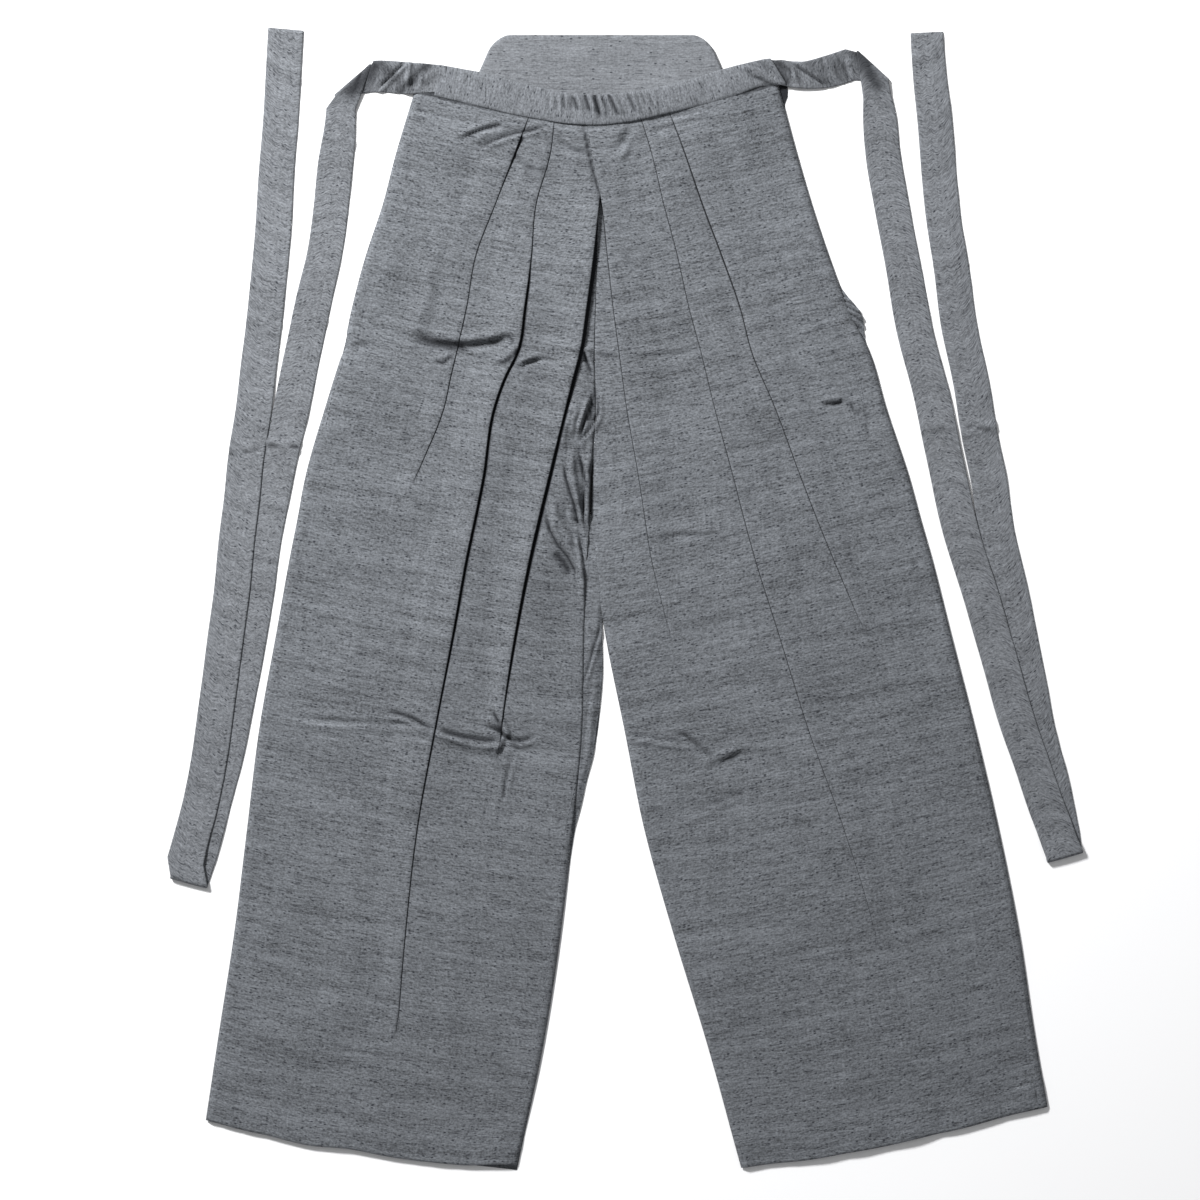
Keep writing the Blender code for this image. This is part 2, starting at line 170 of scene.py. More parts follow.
# cloth finishes
def addNode(tree, kind, place, **inputs):
    node = tree.nodes.new(kind)
    node.location = place
    for key, value in inputs.items():
        node.inputs[key].default_value = value
    return node


def scaled(tree, source, scale, place, move=(0, 0, 0)):
    node = addNode(tree, "ShaderNodeMapping", place, Scale=scale, Location=move)
    tree.links.new(source, node.inputs["Vector"])
    return node.outputs["Vector"]


def noise(tree, source, place, detail=2.0, rough=0.5):
    node = addNode(tree, "ShaderNodeTexNoise", place, Scale=1.0, Detail=detail, Roughness=rough)
    tree.links.new(source, node.inputs["Vector"])
    return node.outputs[0]


def mathNode(tree, kind, first, second, place):
    node = tree.nodes.new("ShaderNodeMath")
    node.operation = kind
    node.location = place
    for socket, value in zip(node.inputs, (first, second)):
        if isinstance(value, (int, float)):
            socket.default_value = value
        else:
            tree.links.new(value, socket)
    return node.outputs[0]


def ranged(tree, source, low, high, to, place):
    node = addNode(tree, "ShaderNodeMapRange", place)
    node.inputs["From Min"].default_value = low
    node.inputs["From Max"].default_value = high
    node.inputs["To Min"].default_value = to[0]
    node.inputs["To Max"].default_value = to[1]
    tree.links.new(source, node.inputs["Value"])
    return node.outputs["Result"]


def mixed(tree, factor, first, second, place):
    node = tree.nodes.new("ShaderNodeMix")
    node.data_type = "RGBA"
    node.location = place
    tree.links.new(factor, node.inputs[0])
    for socket, value in ((node.inputs[6], first), (node.inputs[7], second)):
        if isinstance(value, tuple):
            socket.default_value = (*value, 1)
        else:
            tree.links.new(value, socket)
    return node.outputs[2]


def slubCloth(name, values):
    # u runs along the slubs and v across them, both in metres
    finish = bpy.data.materials.new(name)
    finish.use_nodes = True
    tree = finish.node_tree
    shader = tree.nodes["Principled BSDF"]
    uv = addNode(tree, "ShaderNodeUVMap", (-1800, 0))
    uv.uv_map = "UVMap"
    uv = uv.outputs["UV"]
    thread = noise(tree, scaled(tree, uv, (165, 800, 1), (-1600, 400)), (-1400, 400), 4, 0.7)
    slub = noise(tree, scaled(tree, uv, (38, 330, 1), (-1600, 200), (3, 5, 0)), (-1400, 200), 3, 0.6)
    band = noise(tree, scaled(tree, uv, (8, 90, 1), (-1600, 0), (8, 1, 0)), (-1400, 0), 3, 0.6)
    grain = noise(tree, scaled(tree, uv, (480, 560, 1), (-1600, -200)), (-1400, -200), 2, 0.6)
    warp = noise(tree, scaled(tree, uv, (700, 30, 1), (-1600, -400)), (-1400, -400), 2, 0.5)
    cloud = noise(tree, scaled(tree, uv, (9, 12, 1), (-1600, -600)), (-1400, -600), 2, 0.5)
    total = mathNode(tree, "MULTIPLY", thread, values["thread"], (-1200, 400))
    for source, much, y in (
        (slub, values["slub"], 200), (band, values["band"], 0), (grain, values["grain"], -200),
        (warp, values["warp"], -400), (cloud, values["cloud"], -600),
    ):
        part = mathNode(tree, "MULTIPLY", source, much, (-1200, y))
        total = mathNode(tree, "ADD", total, part, (-1000, y))
    middle = 0.5 * sum(values[k] for k in ("thread", "slub", "band", "grain", "warp", "cloud"))
    tone = ranged(tree, total, middle - 0.5, middle + 0.5, (0, 1), (-800, 200))
    colour = values["colour"]
    dark = tuple(c * values["dark"] for c in colour)
    light = tuple(c * values["light"] for c in colour)
    colour = mixed(tree, tone, dark, light, (-600, 300))

    # the slubs' short dark and pale ends
    for scale, move, share, fleck, much, y in (
        ((250, 540, 1), (0, 0, 0), values["darkFlecks"], values["fleckDark"], 0.85, -800),
        ((75, 720, 1), (7, 3, 0), values["darkFlecks"] * 1.3, values["fleckDark"], 0.55, -1000),
        ((150, 900, 1), (2, 9, 0), values["paleFlecks"], values["fleckPale"], 0.5, -1200),
    ):
        cell = addNode(tree, "ShaderNodeTexVoronoi", (-1400, y), Scale=1.0, Randomness=1.0)
        tree.links.new(scaled(tree, uv, scale, (-1600, y), move), cell.inputs["Vector"])
        spot = ranged(tree, cell.outputs["Distance"], 0.22, 0.42, (1, 0), (-1200, y))
        split = tree.nodes.new("ShaderNodeSeparateColor")
        split.location = (-1200, y - 120)
        tree.links.new(cell.outputs["Color"], split.inputs[0])
        chosen = ranged(tree, split.outputs[0], 1 - share, 1 - share * 0.4, (0, much), (-1000, y - 120))
        mask = mathNode(tree, "MULTIPLY", spot, chosen, (-800, y))
        colour = mixed(tree, mask, colour, fleck, (-400, y + 900))
    # painted shade: cloth is painted a little darker down the legs, standing in for less light there, a
    # little darker towards the right, and dark in the bottoms of its folds
    place = addNode(tree, "ShaderNodeTexCoord", (-1000, 700))
    split = addNode(tree, "ShaderNodeSeparateXYZ", (-800, 700))
    tree.links.new(place.outputs["Object"], split.inputs[0])
    lower = ranged(tree, split.outputs["Y"], 0.3, -0.5, (0, values["paintedShadeLow"]), (-600, 700))
    outer = ranged(tree, split.outputs["X"], -0.1, 0.4, (0, values["darkerRight"]), (-600, 560))
    shadeLowAndDarkerRight = mathNode(tree, "ADD", lower, outer, (-400, 700))
    colour = mixed(tree, shadeLowAndDarkerRight, colour, (0.02, 0.02, 0.024), (-200, 500))
    # painted shade: this attribute paints the bottoms of folds, gaps and creases almost black, standing
    # in for their shade
    paintedShade = tree.nodes.new("ShaderNodeAttribute")
    paintedShade.attribute_name = "paintedShade"
    paintedShade.location = (-400, 900)
    colour = mixed(tree, paintedShade.outputs["Fac"], colour, (0.008, 0.009, 0.012), (0, 500))
    tree.links.new(colour, shader.inputs["Base Color"])
    shader.inputs["Roughness"].default_value = values["roughness"]
    shader.inputs["Specular IOR Level"].default_value = values["shine"]
    shader.inputs["Sheen Weight"].default_value = values["sheen"]
    shader.inputs["Sheen Roughness"].default_value = values["sheenRoughness"]

    height = slub
    for i, (source, much) in enumerate(((thread, 0.7), (grain, 0.8), (warp, 0.5))):
        part = mathNode(tree, "MULTIPLY", source, much, (-1000 + 200 * i, -1500))
        height = mathNode(tree, "ADD", height, part, (-800 + 200 * i, -1400))
    bump = addNode(tree, "ShaderNodeBump", (-200, -600))
    bump.inputs["Strength"].default_value = values["bump"]
    bump.inputs["Distance"].default_value = values["bumpDepth"]
    tree.links.new(height, bump.inputs["Height"])
    tree.links.new(bump.outputs["Normal"], shader.inputs["Normal"])
    return finish


clothLook = {
    "colour": (0.132, 0.141, 0.154),
    "dark": 0.0,
    "light": 2.0,
    "thread": 1.2,
    "slub": 0.6,
    "band": 0.5,
    "grain": 1.05,
    "warp": 0.12,
    "cloud": 0.14,
    "darkFlecks": 0.3,
    "paleFlecks": 0.05,
    "fleckDark": (0.008, 0.01, 0.016),
    "fleckPale": (0.23, 0.245, 0.262),
    "roughness": 0.88,
    "shine": 0.25,
    "sheen": 0.05,
    "sheenRoughness": 0.5,
    "bump": 0.5,
    "bumpDepth": 0.0005,
    # painted shade towards the hem, and a darker tone towards the right
    "paintedShadeLow": 0.16,
    "darkerRight": 0.06,
}
stripLook = dict(clothLook, thread=1.0, slub=0.4, band=0.2, grain=0.9, darkFlecks=0.14)
slubFinish = slubCloth("slub_cloth_look", clothLook)
bandFinish = slubCloth("band_cloth_look", dict(stripLook, colour=(0.146, 0.155, 0.169)))
tieLook = dict(stripLook, thread=1.2, band=0.4, darkFlecks=0.28, colour=(0.158, 0.167, 0.181))
tieFinish = slubCloth("tie_cloth_look", tieLook)
boardLook = dict(stripLook, thread=0.85, grain=0.6, colour=(0.164, 0.173, 0.187))
boardFinish = slubCloth("board_cloth_look", boardLook)
print("finishes made")


# the two legs
waistSeam = [
    (-192, 456), (-130, 441), (-87, 432), (-46, 426), (-22, 425), (14, 431), (40, 437), (68, 444),
    (100, 452), (144, 464),
]

panelCloth = {
    "thickness": 0.5,
    "rows": 282,
    "topRow": 436,
    "hemRow": -505,
    # distance between rows at each height
    "spacing": [
        (436, 1.7), (394, 1.7), (385, 5.5), (250, 5.5), (244, 1.7), (203, 1.7), (198, 2.6),
        (190, 2.0), (8, 2.0), (0, 5.5), (-90, 5.5), (-97, 1.6), (-140, 1.6), (-148, 4), (-195, 4),
        (-205, 8), (-480, 8), (-492, 3), (-505, 2),
    ],
    "layer": 0.75,
    "edgeHeight": 1.15,
    "inside": 4.0,
    "overBoard": 5.6,
    "tuck": 6,
    "softRoll": 4.5,
    "hemTurn": 22,
    "opened": 7,
    "pressed": 0.7,
    "deepest": 3.4,
}

# each level down a leg: height, side seam, outer, middle and centre pleat edges, inner edge
leftLeg = {
    "inwards": 1,
    "dent": 2.5,
    "hemRise": 4.5,
    "crossing": 0,
    "clothStart": 0,
    "innerColumns": 31,
    "levels": [
        (450, -191, -80, -62, -10, -22.2), (400, -206, -99, -67, -17, -23.2),
        (354, -218, -117, -80, -23, -24.2), (309, -233, -134, -84, -28, -25.2),
        (264, -245, -142, -90, -34, -26.2), (219, -255, -152, -98, -41, -27.2),
        (200, -261, -156.5, -107.5, -46, -26.8), (174, -269, -162, -117, -52.5, -26.2),
        (107, -288, -188, -128, -69, -30.0), (72, -294.5, -198, -135, -77.5, -31.2),
        (39, -301, -207, -142, -85, -34), (-28, -313, -225, -154, -98, -36.5),
        (-118, -329, -247, -171, -111, -38.5), (-208, -340, -260, -187, -117, -47),
        (-298, -351, -274, -197, -122, -57), (-396, -366, -288, -205, -128, -72),
        (-515, -384, -301, -213, -136, -97),
    ],
    "hem": [(-377, -468), (-342, -478), (-216, -501), (-97, -515)],
    # each pleat's last number is how dark the gap under its edge and its folded-in cloth are painted, as
    # painted shade
    "pleats": [
        {
            "waistDepth": 15, "depth": 17, "ends": 96, "nose": 0.55,
            "lift": [
                (450, 0.2), (420, 0.5), (412, 2.6), (402, 2.6), (388, 1.4), (380, 0.8), (230, 0.7),
                (111, 0.4),
            ],
            "gap": [
                (450, 0.8), (418, 1.0), (412, 2.4), (400, 2.0), (386, 1.1), (372, 1.0), (230, 0.9),
                (111, 0.7),
            ],
            "shoulder": 0.5, "paintedShade": 0.9,
        },
        {
            "waistDepth": 10, "depth": 24, "ends": -396, "nose": 0.7,
            "lift": [
                (450, 0.2), (400, 0.6), (330, 0.9), (296, 1.6), (280, 3.4), (240, 4.0), (205, 4.2),
                (120, 4.2), (0, 3.8), (-90, 2.2), (-200, 1.4), (-300, 1.0), (-396, 0.5),
            ],
            "gap": [
                (450, 0.6), (330, 0.9), (300, 1.3), (285, 2.8), (240, 3.4), (205, 3.0), (120, 3.2),
                (0, 3.2), (-90, 1.9), (-200, 1.2), (-396, 0.6),
            ],
            "shoulder": 0.6, "paintedShade": 1.0,
        },
        {
            "waistDepth": 30, "depth": 24, "ends": -150, "nose": 0.8,
            "lift": [
                (450, 0.1), (400, 0.2), (372, 0.6), (352, 3.6), (300, 4.6), (220, 5.0), (120, 5.0),
                (0, 4.6), (-60, 3.4), (-100, 1.8), (-150, 0.6),
            ],
            "gap": [
                (450, 0.5), (372, 1.2), (360, 3.6), (340, 4.4), (300, 3.8), (230, 3.4), (150, 3.6),
                (60, 4.2), (0, 3.4), (-60, 2.4), (-100, 1.4), (-150, 0.6),
            ],
            "shoulder": 0.6, "paintedShade": 1.0,
        },
    ],
}
rightLeg = {
    "inwards": -1,
    "dent": 0,
    "hemRise": 0,
    "crossing": 2.4,
    "clothStart": 3.3,
    "innerColumns": 20,
    "levels": [
        (450, 142, 36, 9.5, -37, -21.8), (400, 155.5, 55, 25, -29, -22.8),
        (354, 169, 71, 36, -20, -23.8), (309, 184, 88, 48, -15, -24.8),
        (264, 201, 104, 58, -10, -25.8), (219, 222, 116, 70, -4, -26.8),
        (174, 235, 135, 81, 2, -25.8), (107, 257, 160, 99, 13.5, -29.5),
        (72, 266.5, 173.5, 108, 18.8, -30.2), (39, 276, 187, 117, 24, -27),
        (-28, 293, 215, 138, 40, -18), (-118, 316, 248, 166, 59, 0), (-208, 337, 270, 198, 77, 18),
        (-298, 355, 288, 225, 99, 43), (-396, 370, 304, 239, 122, 73),
        (-515, 392, 315, 252, 144, 106),
    ],
    "hem": [(105, -512), (183, -501), (300, -478), (381, -457)],
    # each pleat's last number is how dark the gap under its edge and its folded-in cloth are painted, as
    # painted shade
    "pleats": [
        {
            "waistDepth": 20, "depth": 22, "ends": -36, "nose": 0.5,
            "lift": [(450, 0.3), (390, 1.0), (330, 1.4), (270, 1.1), (200, 0.7), (0, 0.4), (-36, 0.2)],
            "gap": [(450, 0.9), (390, 1.4), (300, 1.5), (250, 1.1), (0, 0.8), (-36, 0.5)],
            "shoulder": 0.5, "paintedShade": 0.85,
        },
        {
            "waistDepth": 16, "depth": 24, "ends": -314, "nose": 0.45,
            "lift": [(450, 0.2), (350, 0.6), (200, 0.6), (0, 0.5), (-200, 0.4), (-314, 0.2)],
            "gap": [(450, 0.9), (200, 0.8), (0, 0.9), (-200, 0.7), (-314, 0.4)],
            "shoulder": 0.5, "paintedShade": 0.75,
        },
        {
            "waistDepth": 32, "depth": 26, "ends": -42, "nose": 0.45,
            "lift": [(450, 0.3), (380, 1.2), (350, 1.4), (250, 0.6), (100, 0.5), (-42, 0.2)],
            "gap": [(450, 0.9), (365, 1.0), (200, 0.8), (-42, 0.6)],
            "shoulder": 0.5, "paintedShade": 0.9,
        },
    ],
}

# creases on the front of both legs: path, width, rise, lean, painted shade
legCreases = [
    # drag lines under the band
    ([(-150, 412.5), (-138, 418), (-126, 422.6), (-114, 425.6), (-106, 427)], 1.7, -2.8, 3.2, 1.0),
    (
        [(-135, 403), (-122, 410.5), (-110, 415), (-97.7, 418.6), (-85, 421), (-66, 426)],
        1.9, -3.0, -4.2, 1.0,
    ),
    ([(-142, 409), (-128, 416), (-114, 421), (-100, 424)], 1.8, 1.6, 0, 0),
    ([(-160, 404), (-150, 398), (-140, 394)], 3.0, -1.0, 0, 0.2),
    ([(-102, 405), (-98, 398), (-92, 391), (-78, 385), (-64, 385)], 2.2, -1.8, 4, 0.4),
    ([(-58, 416), (-54, 408), (-46, 403), (-34, 400)], 2.2, -1.8, 4, 0.4),
    ([(14, 424), (6, 408), (-5, 392)], 4, 2.2, -6, 0),
    ([(12, 420), (6, 406), (-2, 390)], 2.2, -1.8, 0, 0.35),
    ([(4, 424), (0, 414), (-6, 406)], 2.2, -1.2, 0, 0.2),
    ([(16, 427), (38, 433), (74, 440)], 2.4, -1.6, -4, 0.4),
    # the line across the left leg below the hip, and its pale run to the centre
    ([(-186, 235), (-174, 228), (-150, 226), (-122, 229), (-99, 235)], 3.2, -4.6, 6, 0.65),
    ([(-174, 240), (-148, 239), (-120, 238), (-100, 237)], 3.0, 1.2, 0, 0),
    ([(-190, 236), (-172, 231), (-154, 227), (-136, 228)], 7.0, -2.4, 0, 0.75),
    ([(-112, 230), (-106, 218), (-98, 208)], 2.0, 1.2, -4, 0.1),
    ([(-116, 211), (-107, 213), (-101, 217), (-94, 227)], 2.3, -1.2, 3, 1.0),
    ([(-112, 238), (-103, 235), (-98, 228)], 1.8, -0.9, 3, 0.7),
    ([(-172, 214), (-163, 212.5), (-154, 219)], 1.6, -1.8, 2.6, 1.0),
    ([(-97, 211), (-88, 216), (-76, 219), (-64, 217)], 2.0, 2.0, -4, 0),
    ([(-96, 207), (-87, 212), (-76, 215)], 1.8, -1.8, 3, 0.6),
    ([(-52, 228), (-40, 221), (-30, 216)], 2.2, 1.6, -4, 0),
    ([(-42, 222), (-36, 220), (-33, 211), (-29, 200)], 1.9, -2.6, 3, 1.0),
    ([(-40, 225), (-22, 223), (-4, 219)], 2.2, 1.7, 0, 0),
    ([(0, 221), (30, 223), (60, 226)], 3, 0.8, -5, 0),
    # the bunch at the crotch
    ([(-25.5, 192), (-24.5, 174), (-24.2, 166), (-28, 158), (-34, 149), (-43, 140)], 1.4, -2.8, 3.4, 1.0),
    ([(-27.5, 186), (-30.5, 175), (-35, 163), (-38, 153), (-39, 146)], 1.5, -3.0, -3.2, 1.0),
    ([(-27.5, 180), (-29.5, 168), (-33, 157)], 2.4, -1.8, 0, 0.85),
    ([(-44, 178), (-50, 164), (-55, 148), (-56, 130)], 4.0, 2.2, 0, 0),
    ([(-41, 172), (-46, 160), (-47, 146)], 2.8, 2.2, 0, 0),
    ([(-26, 142), (-29, 126), (-32, 112)], 2.4, 2.2, 0, 0),
    ([(-54.5, 122), (-52.5, 108), (-49, 96), (-45, 84), (-42, 70), (-40, 60)], 1.4, -3.4, 3.8, 1.0),
    ([(-42, 136), (-38, 120), (-35, 104), (-36.5, 88), (-37, 72), (-33, 54)], 1.5, -3.6, 3.6, 1.0),
    ([(-26, 150), (-27.5, 128), (-29.5, 108), (-30.5, 92), (-31, 72), (-32, 58)], 1.3, -3.0, -4, 1.0),
    ([(-33, 112), (-33, 92), (-32, 70)], 1.8, 3.0, 0, 0),
    ([(-30, 130), (-31, 104), (-33, 76)], 2.6, -0.6, 0, 0.5),
    ([(-48, 134), (-46.5, 114), (-42.5, 94), (-40.5, 78)], 2.8, 3.8, 0, 0),
    ([(-71, 78), (-67, 61), (-60, 48), (-51, 37), (-44, 24), (-42, 14)], 1.6, -4.2, 4.6, 1.0),
    ([(-64, 42), (-55, 33), (-48, 20)], 4.2, -2.6, 0, 0.85),
    ([(-66, 90), (-60, 70), (-51, 56), (-45, 44)], 3.2, 3.8, 0, 0),
    ([(-50, 84), (-47, 74), (-38, 70)], 2.0, 2.2, -4, 0.25),
    ([(-41, 60), (-37, 40), (-34, 16), (-33.4, -4)], 1.6, -4.0, -3.4, 1.0),
    ([(-31, 62), (-27, 40), (-25, 18), (-22, -4)], 1.3, -2.4, -3, 0.9),
    ([(-33, 46), (-30, 24), (-29, 2)], 1.9, 2.8, 0, 0),
    ([(-29, 20), (-30, -40), (-34, -100)], 2.2, 0.6, 0, 0),
    # painted shadow along the upper edge of the right leg's centre pleat, over a shallow trough
    (
        [(-38.5, 434), (-37.6, 428), (-33.5, 405), (-27.6, 380), (-22.6, 361), (-22, 346)],
        1.6, -0.6, 0, 1.0,
    ),
    # knees
    ([(-300, -106), (-270, -110), (-230, -112), (-193, -113), (-170, -118)], 2.4, -1.8, -5, 0.2),
    ([(-215, -102), (-202, -104), (-190, -108), (-178, -115), (-170, -119)], 2.0, -3.6, -4.4, 0.95),
    ([(-172, -116), (-158, -121), (-143.6, -125), (-124, -128), (-108, -127)], 2.3, -4.2, -5, 0.95),
    ([(-172, -118), (-156, -125), (-140, -130)], 2.2, 2.6, 0, 0),
    ([(-119, -100), (-113, -112), (-108, -126)], 2.0, -4.2, 4, 1.0),
    ([(-126, -111), (-112, -117), (-96, -133)], 2.0, 3.8, -4.4, 0.8),
    ([(-112, -122), (-102, -127), (-92, -128), (-80, -124)], 2.0, -3.0, -4, 0.9),
    ([(-116, -138), (-110, -130), (-104, -120)], 1.8, 2.2, -3.4, 0.6),
    ([(-100, -140), (-105, -156), (-108, -172), (-109, -184)], 1.8, -1.8, 3, 0.6),
    ([(-160, -130), (-130, -136), (-96, -134)], 5, 1.6, 0, 0),
    ([(0, -128), (20, -130), (40, -133), (62, -136)], 2.0, 2.0, 4.4, 0.2),
    ([(46, -116), (58, -123), (68, -132), (80, -143)], 2.0, 2.8, -4.4, 0.5),
    ([(74, -150), (84, -148), (94, -144), (108, -136)], 2.2, -3.0, 4.4, 0.8),
    ([(62, -190), (78, -186), (88, -180), (112, -172)], 2.0, -2.6, -4.4, 0.65),
    ([(110, -130), (150, -138), (200, -150), (250, -150)], 4, 0.8, 0, 0),
    ([(34, 57), (60, 57), (88, 58)], 1.8, -1.4, 3.4, 0.3),
    # the side opening's foot on the right
    ([(178, 175.5), (188, 175), (198, 177.5)], 2.0, -2.8, 3.8, 1.0),
    ([(200, 179), (206, 171), (212, 163)], 1.8, -2.6, 3.6, 0.7),
    ([(200, 170), (206, 163), (212, 154)], 2.0, 2.0, 0, 0),
    ([(216, 172), (218, 160), (219, 140)], 1.8, -1.4, -3, 0.3),
    ([(-260, 228), (-248, 227), (-228, 230)], 2.2, -2.0, 4, 0.2),
    # long soft folds
    ([(-150, 360), (-170, 300), (-185, 240)], 9, 1.3, 0, 0),
    ([(-206, 330), (-214, 290), (-226, 250)], 7, 1.0, 0, 0),
    ([(-180, 300), (-176, 270), (-184, 246)], 6, 1.3, 0, 0),
    ([(-230, 60), (-240, -20), (-252, -90)], 10, 1.1, 0, 0),
    ([(-170, 60), (-178, -10), (-190, -80)], 9, 1.1, 0, 0),
    ([(60, 330), (78, 260), (96, 190)], 7, 0.7, 0, 0),
    ([(150, 300), (168, 240), (190, 170)], 8, 1.0, 0, 0),
    ([(140, -40), (160, -120), (190, -200)], 10, 1.0, 0, 0),
    ([(230, -160), (250, -260), (262, -340)], 11, 1.0, 0, 0),
    ([(-240, -220), (-248, -320), (-262, -420)], 11, 1.0, 0, 0),
    ([(-150, -260), (-158, -350), (-160, -440)], 10, 1.0, 0, 0),
    ([(60, -250), (86, -330), (112, -400)], 10, 1.0, 0, 0),
    ([(180, -330), (196, -400), (206, -470)], 10, 1.0, 0, 0),
]

waistLine = smoothCurve(waistSeam)

# the stiff board behind the waist, which the cloth over it rises to
board = {
    "centre": -21, "foot": 416, "height": 91, "halfFoot": 135, "halfTop": 95, "corner": 15,
    "thickness": 2.8, "top": 3.8,
}


def boardUnder(x, y):
    # 1 where the cloth lies over the back board, 0 clear of it
    narrowing = (board["halfFoot"] - board["halfTop"]) / board["height"]
    half = board["halfFoot"] + 3 - narrowing * np.maximum(y - board["foot"], 0)
    return ease(y, 374, 420) * ease(half - np.abs(x - board["centre"]), -14, 12)


def unevenness(x, y):
    soft = ripples(x, y, 5, 170, 0.45) + ripples(x, y, 11, 60, 0.16)
    return soft + ripples(x * 0.35, y, 17, 26, 0.05)


def pleatDepth(pleat, y):
    # grows from the waist to its full depth, and runs out towards the pleat's end
    grown = np.clip((450 - y) / 150, 0, 1)
    full = pleat["waistDepth"] + (pleat["depth"] - pleat["waistDepth"]) * grown
    return np.clip(np.minimum(full, (y - pleat["ends"]) * 0.12), 1.6, None)


def between(start, stop, count, last=False):
    t = np.linspace(0, 1, count, endpoint=last)
    return start[:, None] + (stop - start)[:, None] * t


